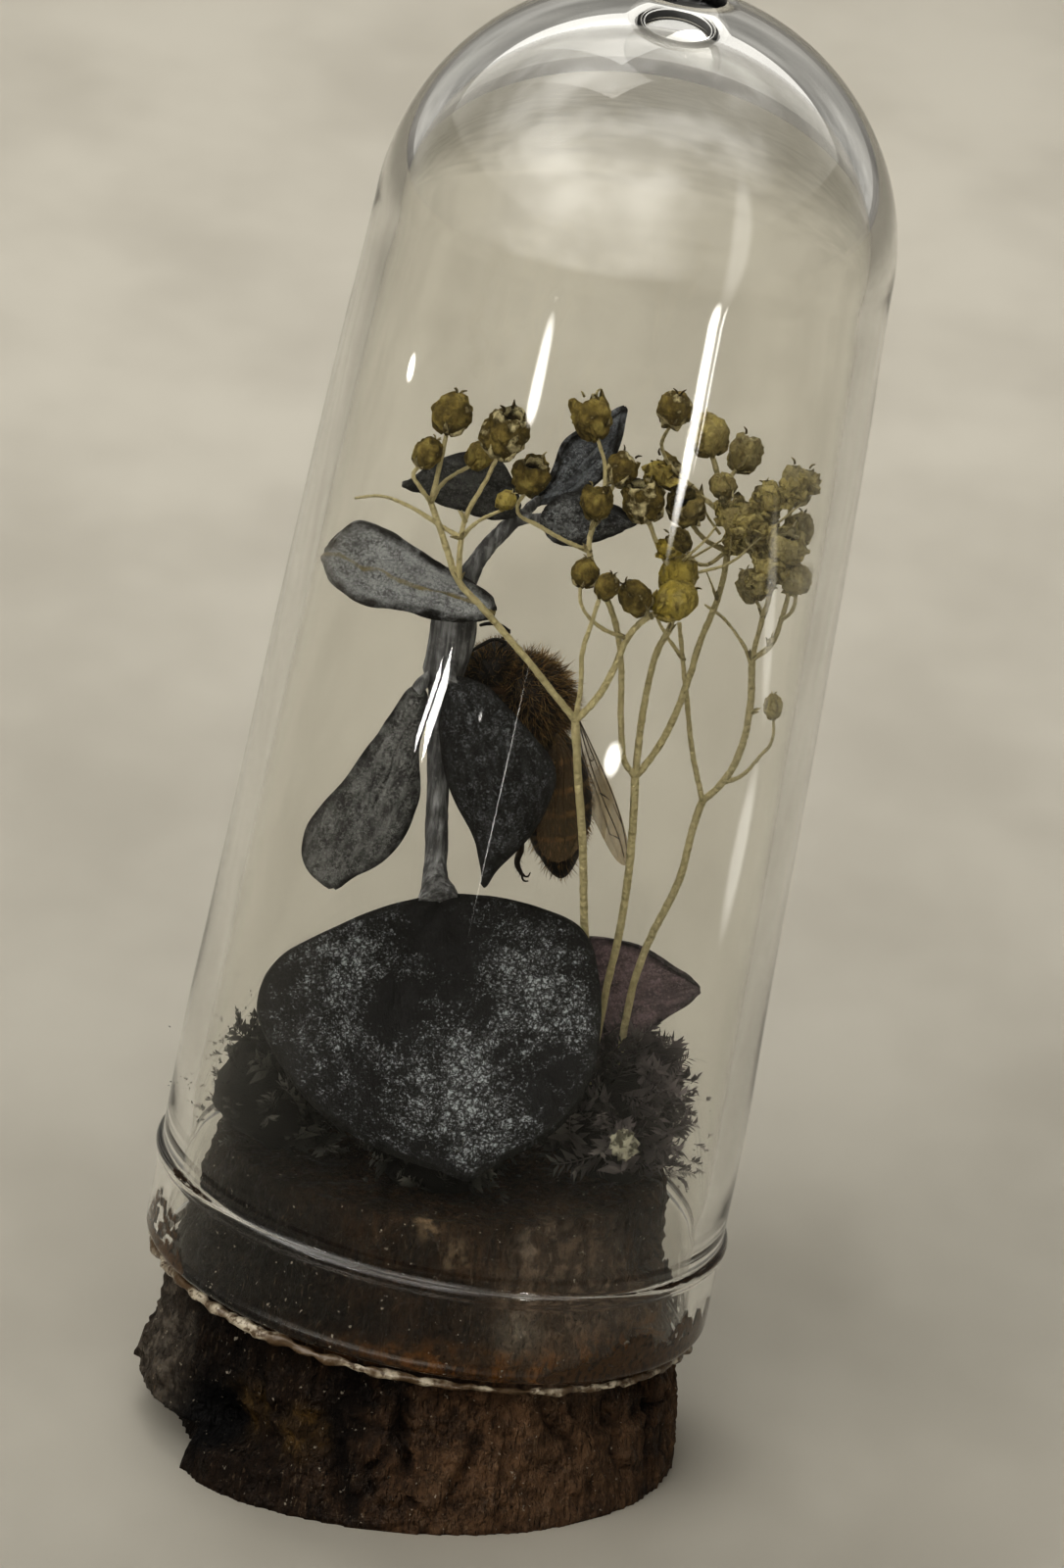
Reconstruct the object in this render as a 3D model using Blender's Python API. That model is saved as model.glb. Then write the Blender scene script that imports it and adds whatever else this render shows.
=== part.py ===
"""A honeybee on a dried eucalyptus sprig under a small glass dome.

The frame's origin is the middle of the cork's flat foot, with +Z up and the front towards -Y.
The dome sits askew on its tapered cork: its axis leans towards +X by GLASS_LEAN.
Sizes and places are in millimetres, turned into metres where a mesh is made.
"""
import math

import bpy
from mathutils import Matrix, Vector, noise

MM = 0.001
GAP = 0.3  # clearance between pieces that touch

# Driving dimensions of the dome, along its own leaning axis from the foot of the cork
GLASS_LEAN = math.radians(5.1)
GLASS_SIDES = 28
RIM_HEIGHT = 9.1
RIDGE_HEIGHT = 14.0
SHOULDER_HEIGHT = 67.6
RIM_RADIUS = 15.3
WAIST_RADIUS = 14.7
SHOULDER_RADIUS = 13.7
WALL = 1.2
CROWN_INSIDE = 9.7  # rise of the inner crown above the shoulder
NECK_RADIUS = 2.0
NECK_HEIGHT = 0.4
KNOB_RADIUS = 4.0

# Dried glue in the corner between the rim and the cork
GLUE_INSIDE = 14.1
GLUE_FOOT = 8.1
GLUE_SWELL = 0.22

# Driving dimensions of the cork
CORK_SIDES = 36
CORK_TOP = 16.6
CORK_ROUGHNESS = 0.3
CORK_RADII = ((0.0, 15.3), (5.0, 14.3), (9.0, 13.4), (13.0, 12.5), (CORK_TOP, 11.9))
CORK_SHIFT = 0.06  # sideways shift of each level towards +X, per millimetre of height
CORK_LEVELS = (0.0, 0.7, 1.5, 2.4, 3.3, 4.4, 6.0, 8.0, 10.5, 13.5, CORK_TOP)
STEM_FOOT = CORK_TOP + GAP

LEAF_THICKNESS = 0.45
TWIG_SIDES = 5
BUD_SIDES = 6
BUD_STATIONS = ((-0.62, 0.72), (0.0, 1.0), (0.62, 0.8))


def finish(name, colour, roughness, transmission=0.0):
    """A plain material with the photographed colour of one kind of piece."""
    mat = bpy.data.materials.new(name)
    mat.use_nodes = True
    shader = mat.node_tree.nodes["Principled BSDF"]
    shader.inputs["Base Color"].default_value = (*colour, 1.0)
    shader.inputs["Roughness"].default_value = roughness
    shader.inputs["Transmission Weight"].default_value = transmission
    mat.diffuse_color = (*colour, 1.0)
    return mat


def add_piece(name, points, faces, mat):
    """One object from points in millimetres."""
    mesh = bpy.data.meshes.new(name)
    mesh.from_pydata([tuple(c * MM for c in p) for p in points], [], faces)
    mesh.materials.append(mat)
    mesh.shade_smooth()
    piece = bpy.data.objects.new(name, mesh)
    bpy.context.collection.objects.link(piece)
    return piece


def join_solids(name, solids, mat, cut_by=()):
    """One body from solids that run into each other, less the solids in cut_by."""
    body = solids[0]
    for other, operation in [(s, "UNION") for s in solids[1:]] + [(s, "DIFFERENCE") for s in cut_by]:
        step = body.modifiers.new("join", "BOOLEAN")
        step.operation = operation
        step.solver = "EXACT"
        step.object = other
    evaluated = body.evaluated_get(bpy.context.evaluated_depsgraph_get())
    mesh = bpy.data.meshes.new_from_object(evaluated)
    mesh.name = name
    mesh.materials.clear()
    mesh.materials.append(mat)
    for solid in list(solids) + list(cut_by):
        bpy.data.objects.remove(solid)
    bpy.context.collection.objects.link(bpy.data.objects.new(name, mesh))


def tapered(stations, x):
    """Linear interpolation between (place, value) pairs."""
    for (x0, y0), (x1, y1) in zip(stations, stations[1:]):
        if x <= x1:
            return y0 + (y1 - y0) * max(0.0, x - x0) / (x1 - x0)
    return stations[-1][1]


def ring_faces(first, second, count):
    """Quads between two rings of points, given the index of each ring's first point."""
    return [(first + k, first + (k + 1) % count, second + (k + 1) % count, second + k) for k in range(count)]


# ---------------------------------------------------------------- dome, glue and cork

def arc(centre, width, height, start, stop, steps):
    """Points (radius, height) along a quarter or so of an ellipse about the dome's axis."""
    angles = [math.radians(start + (stop - start) * k / steps) for k in range(steps + 1)]
    return [(width * math.cos(a), centre + height * math.sin(a)) for a in angles]


def dome_profile():
    """The closed outline of the glass, from the rim up the outside to the knob, and down the inside."""
    outside = [
        (RIM_RADIUS - 0.75, RIM_HEIGHT), (RIM_RADIUS - 0.1, RIM_HEIGHT + 0.3), (RIM_RADIUS, RIM_HEIGHT + 0.9),
        (RIM_RADIUS - 0.05, RIDGE_HEIGHT - 0.5), (RIM_RADIUS + 0.15, RIDGE_HEIGHT),
        (RIM_RADIUS - 0.05, RIDGE_HEIGHT + 0.5), (RIM_RADIUS, 21.0), (WAIST_RADIUS, 42.0), (14.2, 57.0),
    ]
    crown = arc(SHOULDER_HEIGHT, SHOULDER_RADIUS, SHOULDER_RADIUS, 0, 78, 6)
    knob_base = SHOULDER_HEIGHT + SHOULDER_RADIUS
    knob_centre = knob_base + NECK_HEIGHT + KNOB_RADIUS
    neck = [(NECK_RADIUS + 0.1, knob_base), (NECK_RADIUS, knob_base + 0.8)]
    knob = arc(knob_centre, KNOB_RADIUS, KNOB_RADIUS, -52, 68, 5)
    top = [(0.0, knob_centre + KNOB_RADIUS)]
    inside_top = [(0.0, SHOULDER_HEIGHT + CROWN_INSIDE)]
    inside_crown = [(5.0, SHOULDER_HEIGHT + 9.3), (8.4, SHOULDER_HEIGHT + 8.2), (10.6, SHOULDER_HEIGHT + 6.4),
                    (12.0, SHOULDER_HEIGHT + 3.6), (SHOULDER_RADIUS - WALL, SHOULDER_HEIGHT)]
    inside = [(14.2 - WALL, 57.0), (WAIST_RADIUS - WALL, 42.0), (RIM_RADIUS - WALL, 21.0),
              (RIM_RADIUS - WALL, RIM_HEIGHT + 0.4)]
    return outside + crown + neck + knob + top + inside_top + inside_crown + inside


def turned(name, profile, sides, mat):
    """A solid of revolution about the dome's leaning axis, closed where the profile meets the axis."""
    lean = Matrix.Rotation(GLASS_LEAN, 3, "Y")
    points, rings = [], []
    for radius, height in profile:
        rings.append((len(points), radius == 0.0))
        for k in range(1 if radius == 0.0 else sides):
            turn = 2 * math.pi * k / sides
            points.append(lean @ Vector((radius * math.cos(turn), radius * math.sin(turn), height)))
    faces = []
    for (start, pole), (following, next_pole) in zip(rings, rings[1:] + rings[:1]):
        if pole and next_pole:
            continue
        if next_pole:
            faces += [(start + k, start + (k + 1) % sides, following) for k in range(sides)]
        elif pole:
            faces += [(start, following + (k + 1) % sides, following + k) for k in range(sides)]
        else:
            faces += ring_faces(start, following, sides)
    add_piece(name, points, faces, mat)


def add_glue(mat):
    """The dried bead of glue under the rim, in the corner between glass and cork."""
    lean = Matrix.Rotation(GLASS_LEAN, 3, "Y")
    points, faces = [], []
    for k in range(GLASS_SIDES):
        turn = 2 * math.pi * k / GLASS_SIDES
        swell = GLUE_SWELL * noise.noise(Vector((math.cos(turn) * 2.1, math.sin(turn) * 2.1, 4.0)))
        section = ((GLUE_INSIDE, GLUE_FOOT), (GLUE_INSIDE + 0.65 + swell, GLUE_FOOT),
                   (GLUE_INSIDE + 0.85 + swell, RIM_HEIGHT - GAP), (GLUE_INSIDE, RIM_HEIGHT - GAP))
        points += [lean @ Vector((r * math.cos(turn), r * math.sin(turn), h)) for r, h in section]
    for k in range(GLASS_SIDES):
        here, there = 4 * k, 4 * ((k + 1) % GLASS_SIDES)
        faces += [(here + j, there + j, there + (j + 1) % 4, here + (j + 1) % 4) for j in range(4)]
    add_piece("glue_bead", points, faces, mat)


def bump(x, centre, width):
    """1 at centre, falling to 0 at width either side."""
    return max(0.0, 1.0 - ((x - centre) / width) ** 2)


def cork_radius(turn, height):
    """Bark surface: a rough taper with a torn flap, a hole under it and a chipped foot at the left."""
    degrees = math.degrees(turn) % 360
    radius = tapered(CORK_RADII, height)
    rough = noise.noise(Vector((4.2 * math.cos(turn), 4.2 * math.sin(turn), height * 0.16)))
    radius += CORK_ROUGHNESS * rough if 0.0 < height < CORK_TOP else 0.0
    worn = 0.6 * bump(degrees, 185, 50) if height < 8.0 else 0.0
    chipped = 2.9 * min(1.0, 1.6 * bump(degrees, 188, 34)) if height < 2.0 else 0.0
    flap = 0.35 * bump(degrees, 201, 24) * bump(height, 4.2, 3.0)
    hole = 2.3 * bump(degrees, 231, 13) * bump(height, 3.3, 1.6)
    return radius - worn - chipped + flap - hole


def add_cork(mat):
    points, faces = [], []
    for height in CORK_LEVELS:
        for k in range(CORK_SIDES):
            turn = 2 * math.pi * k / CORK_SIDES
            radius = cork_radius(turn, height)
            points.append((CORK_SHIFT * height + radius * math.cos(turn), radius * math.sin(turn), height))
    for level in range(len(CORK_LEVELS) - 1):
        faces += ring_faces(level * CORK_SIDES, (level + 1) * CORK_SIDES, CORK_SIDES)
    foot, top = len(points), len(points) + 1
    last = (len(CORK_LEVELS) - 1) * CORK_SIDES
    points += [(0.0, 0.0, 0.0), (CORK_SHIFT * CORK_TOP, 0.0, CORK_TOP)]
    faces += [(foot, (k + 1) % CORK_SIDES, k) for k in range(CORK_SIDES)]
    faces += [(top, last + k, last + (k + 1) % CORK_SIDES) for k in range(CORK_SIDES)]
    add_piece("cork_base", points, faces, mat)


# ---------------------------------------------------------------- general growing shapes

def tube(points, radii, sides=TWIG_SIDES):
    """A closed tube along points, with one radius for all or one for each point."""
    places = [Vector(p) for p in points]
    widths = radii if isinstance(radii, (tuple, list)) else (radii,) * len(places)
    if len(widths) == 2 and len(places) > 2:
        widths = [widths[0] + (widths[1] - widths[0]) * k / (len(places) - 1) for k in range(len(places))]
    out, faces = [], []
    across = None
    for k, place in enumerate(places):
        ahead = places[min(k + 1, len(places) - 1)] - places[max(k - 1, 0)]
        ahead.normalize()
        if across is None:
            across = ahead.orthogonal().normalized()
        across = (across - ahead * across.dot(ahead)).normalized()
        other = ahead.cross(across)
        for j in range(sides):
            turn = 2 * math.pi * j / sides
            out.append(place + (across * math.cos(turn) + other * math.sin(turn)) * widths[k])
    for k in range(len(places) - 1):
        faces += ring_faces(k * sides, (k + 1) * sides, sides)
    faces += [tuple(reversed(range(sides))), tuple(range(len(out) - sides, len(out)))]
    return out, faces


def egg(centre, along, length, width, depth=None, sides=BUD_SIDES, stations=BUD_STATIONS):
    """A closed round body along a direction; stations are (place, radius) between its ends at -1 and 1."""
    depth = width if depth is None else depth
    axis = Vector(along).normalized()
    across = axis.cross(Vector((0.0, 1.0, 0.0)))
    across = across.normalized() if across.length > 0.1 else Vector((1.0, 0.0, 0.0))
    other = axis.cross(across)
    middle = Vector(centre)
    out = [middle - axis * length / 2]
    for place, radius in stations:
        for j in range(sides):
            turn = 2 * math.pi * j / sides
            around = across * math.cos(turn) * width / 2 + other * math.sin(turn) * depth / 2
            out.append(middle + axis * place * length / 2 + around * radius)
    out.append(middle + axis * length / 2)
    last = len(out) - 1
    faces = [(0, 1 + (j + 1) % sides, 1 + j) for j in range(sides)]
    for k in range(len(stations) - 1):
        faces += ring_faces(1 + k * sides, 1 + (k + 1) * sides, sides)
    faces += [(last, last - sides + j, last - sides + (j + 1) % sides) for j in range(sides)]
    return out, faces


def solid(shape, mat, name="part"):
    """A piece, or a part of one, from the points and faces of a shape."""
    return add_piece(name, *shape, mat)


# ---------------------------------------------------------------- eucalyptus sprig

STEM_PATH = ((0.4, -1.2, STEM_FOOT), (-0.3, -2.6, 26.0), (-0.7, -3.0, 31.1), (-0.9, -2.5, 34.1), (-1.2, -2.0, 37.8),
             (-1.6, -1.6, 42.3), (-1.5, -1.5, 43.4), (-1.3, -1.5, 44.9), (-1.2, -1.5, 46.6), (-1.1, -1.5, 47.5))
STEM_RADII = (0.75, 0.65, 0.6, 0.58, 0.57, 0.6, 1.1, 1.22, 1.2, 1.0)
TWIG_PATH = ((-1.0, -1.5, 47.9), (-0.5, -1.4, 49.5), (0.7, -1.1, 51.2), (1.6, -1.0, 52.0))
TWIG_RADIUS = 0.45

# Each leaf lies on the chord from its base to its tip. The signed offsets of its two edges from
# the chord stand at stations packed towards both ends. "sag" and "cup" bend the blade along its
# facing direction: the middle of its length, and the edges across its width.
LEAVES = {
    "leaf_front": dict(
        base=(-0.4, -4.3, 31.9), tip=(2.7, -10.8, 18.8), face=(0.0, -0.9, 0.44), sag=-2.2, cup=0.9,
        left=(-3.9, -8.2, -9.8, -9.2, -7.5, -4.6, -1.5), right=(3.6, 7.0, 7.8, 7.6, 6.7, 4.6, 1.0)),
    "leaf_back_right": dict(
        base=(2.1, 1.6, 21.1), tip=(14.0, 2.6, 25.8), face=(0.0, -0.95, 0.31), sag=0.3, cup=0.4,
        left=(-0.7, -2.0, -2.5, -1.2, -0.5), right=(0.4, 2.1, 4.5, 3.7, 1.4)),
    "leaf_drooping_left": dict(
        base=(-2.7, -2.4, 42.7), tip=(-6.0, -3.2, 31.4), face=(0.0, -1.0, 0.1), sag=0.6, cup=-0.4,
        left=(-0.5, -0.9, -1.6, -2.4, -1.9), right=(0.8, 1.2, 2.3, 2.0, 0.6)),
    "leaf_drooping_right": dict(
        base=(-1.2, -3.3, 43.6), tip=(1.7, -4.6, 32.9), face=(0.0, -1.0, 0.1), sag=0.7, cup=-0.7,
        left=(-0.3, -0.8, -0.8, 0.0, 0.2), right=(1.8, 3.3, 4.7, 3.3, 0.8)),
    "leaf_oval_left": dict(
        base=(0.8, -3.5, 47.6), tip=(-7.8, -3.7, 49.8), face=(0.1, -0.95, 0.29), sag=-0.3, cup=0.4,
        left=(-0.8, -1.2, -1.7, -2.2, -2.0), right=(0.7, 1.2, 1.5, 1.8, 1.2)),
    "leaf_top_left": dict(
        base=(1.5, -1.6, 52.8), tip=(-4.5, -2.2, 53.6), face=(0.14, -0.94, 0.3), sag=0.3, cup=-0.4,
        left=(-1.0, -2.2, -2.3, -1.5, -0.3), right=(0.6, 0.8, 0.7, 0.4, 0.1)),
    "leaf_top_up": dict(
        base=(2.2, 0.3, 52.6), tip=(6.5, 2.6, 57.6), face=(-0.1, -0.97, 0.2), sag=0.5, cup=0.5,
        left=(-0.5, -1.4, -1.7, -1.1, -0.3), right=(0.1, 0.3, 1.0, 0.5, 0.2)),
    "leaf_top_right": dict(
        base=(2.8, -1.8, 52.4), tip=(7.6, -1.8, 52.8), face=(0.1, -0.94, 0.32), sag=0.3, cup=-0.4,
        left=(-0.8, -1.3, -1.1, -0.7, -0.2), right=(0.7, 1.4, 1.5, 0.9, 0.2)),
}
LEAF_COLUMNS = 4


def smooth_row(values, u):
    """Catmull-Rom value at u from 0 to 1 along evenly spaced values, which are 0 at both ends."""
    row = (0.0, *values, 0.0)
    place = min(u * (len(row) - 1), len(row) - 1.0001)
    k = int(place)
    t = place - k
    a = row[k - 1] if k > 0 else -row[1]
    b, c = row[k], row[k + 1]
    d = row[k + 2] if k + 2 < len(row) else -row[-2]
    return 0.5 * (2 * b + (c - a) * t + (2 * a - 5 * b + 4 * c - d) * t * t + (3 * b - a - 3 * c + d) * t ** 3)


def blade(base, tip, face, left, right, sag, cup, thickness, rows, columns=LEAF_COLUMNS):
    """A thin closed leaf or wing: two skins and a rim, pointed at both ends."""
    base, tip = Vector(base), Vector(tip)
    chord = tip - base
    along = chord.normalized()
    out = Vector(face)
    out = (out - along * out.dot(along)).normalized()
    side = out.cross(along)
    points = [base, tip]
    for k in range(1, rows):
        u = k / rows
        t = (1 - math.cos(math.pi * u)) / 2
        a, b = smooth_row(left, u), smooth_row(right, u)
        for j in range(columns + 1):
            s = 2 * j / columns - 1
            lift = sag * 4 * t * (1 - t) + cup * s * s * math.sin(math.pi * u)
            middle = base + chord * t + side * (a + (b - a) * (s + 1) / 2) + out * lift
            points += [middle + out * thickness / 2, middle - out * thickness / 2]
    wide = 2 * (columns + 1)
    faces = []
    for k in range(rows - 2):
        for j in range(columns):
            p = 2 + k * wide + 2 * j
            q = p + wide
            faces += [(p, q, q + 2, p + 2), (p + 1, p + 3, q + 3, q + 1)]
        p, q = 2 + k * wide, 2 + (k + 1) * wide
        faces += [(p, p + 1, q + 1, q), (p + wide - 2, q + wide - 2, q + wide - 1, p + wide - 1)]
    first, last = 2, 2 + (rows - 2) * wide
    for j in range(columns):
        p, q = first + 2 * j, last + 2 * j
        faces += [(0, p, p + 2), (0, p + 3, p + 1), (1, q + 2, q), (1, q + 1, q + 3)]
    faces += [(0, first + 1, first), (0, first + wide - 2, first + wide - 1)]
    faces += [(1, last, last + 1), (1, last + wide - 1, last + wide - 2)]
    return points, faces


def add_sprig(stem_mat, leaf_mat):
    solid(tube(STEM_PATH, STEM_RADII, 8), stem_mat, "eucalyptus_stem")
    solid(tube(TWIG_PATH, TWIG_RADIUS, 6), stem_mat, "eucalyptus_twig")
    for name, leaf in LEAVES.items():
        rows = 12 if name == "leaf_front" else 9
        solid(blade(thickness=LEAF_THICKNESS, rows=rows, **leaf), leaf_mat, name)


# ---------------------------------------------------------------- honeybee

HEAD = dict(centre=(0.8, -0.3, 43.4), along=(0.75, 0.0, -0.66), length=2.0, width=3.0, depth=3.4)
THORAX = dict(centre=(3.4, 0.3, 41.7), along=(0.53, 0.0, -0.85), length=5.2, width=4.2, depth=4.2)
ABDOMEN = dict(centre=(5.2, 0.6, 36.1), along=(0.17, 0.0, -0.98), length=8.2, width=4.1, depth=4.0)
BEE_LEGS = (
    ((2.0, -0.9, 42.6), (0.9, -1.6, 42.6), (-0.3, -2.5, 43.0)),
    ((2.0, 1.2, 42.4), (0.8, 1.8, 42.9), (-0.3, 0.6, 43.3)),
    ((2.9, -1.0, 40.8), (1.2, -1.7, 39.7), (-0.1, -1.9, 38.9)),
    ((2.9, 1.5, 40.6), (1.4, 1.9, 39.4), (0.0, 0.2, 38.4)),
    ((3.7, -0.3, 40.3), (2.7, -1.6, 37.2), (3.2, -1.1, 34.8), (3.5, -0.6, 33.4), (3.4, -0.6, 32.8), (3.9, -0.6, 32.2)),
    ((3.7, 1.1, 40.3), (2.7, 2.4, 37.4), (2.4, 1.9, 35.4), (2.5, 1.4, 34.2)),
)
ANTENNAE = (
    ((0.9, -0.7, 44.3), (1.6, -1.1, 45.3), (0.9, -1.3, 45.3), (0.35, -1.5, 45.0)),
    ((1.0, 0.3, 44.3), (1.7, 0.7, 45.3), (0.9, 1.2, 45.5), (0.1, 1.5, 45.2)),
)
WINGS = {
    "bee_wing_near": dict(
        base=(4.7, -2.15, 40.9), tip=(5.5, -2.7, 34.0), face=(0.0, -1.0, 0.1), sag=0.1, cup=-0.1,
        left=(-0.1, -0.6, -0.9, -1.1, -0.8), right=(0.4, 1.1, 1.3, 1.3, 0.9)),
    "bee_wing_far": dict(
        base=(5.8, 2.9, 40.2), tip=(9.3, 3.0, 32.3), face=(0.18, -0.98, 0.0), sag=0.1, cup=0.1,
        left=(-0.2, -0.8, -1.0, -0.8, -0.5), right=(0.1, 0.3, 0.5, 0.5, 0.3)),
}
WING_THICKNESS = 0.16
ROUND_BODY = ((-0.8, 0.6), (-0.35, 0.94), (0.2, 0.98), (0.7, 0.71))
TAPERED_BODY = ((-0.85, 0.6), (-0.45, 0.95), (0.0, 1.0), (0.45, 0.84), (0.8, 0.48))


def add_bee(body_mat, wing_mat):
    parts = [solid(egg(stations=ROUND_BODY, sides=10, **THORAX), body_mat),
             solid(egg(stations=ROUND_BODY, sides=10, **HEAD), body_mat),
             solid(egg(stations=TAPERED_BODY, sides=10, **ABDOMEN), body_mat)]
    parts += [solid(tube(path, (0.32, 0.14)), body_mat) for path in BEE_LEGS]
    parts += [solid(tube(path, (0.15, 0.11)), body_mat) for path in ANTENNAE]
    join_solids("bee_body", parts, body_mat)
    for name, wing in WINGS.items():
        solid(blade(thickness=WING_THICKNESS, rows=6, columns=2, **wing), wing_mat, name)


# ---------------------------------------------------------------- baby's breath

# Every spray is a list of twigs and of seed capsules. A twig is its points and its radius,
# a capsule its middle and its width.
FORK_A, FORK_B, FORK_C = (5.6, -5.5, 42.8), (9.1, -1.0, 38.6), (12.9, 1.5, 36.8)
MAIN, SIDE, FINE = 0.21, 0.16, 0.12

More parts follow.
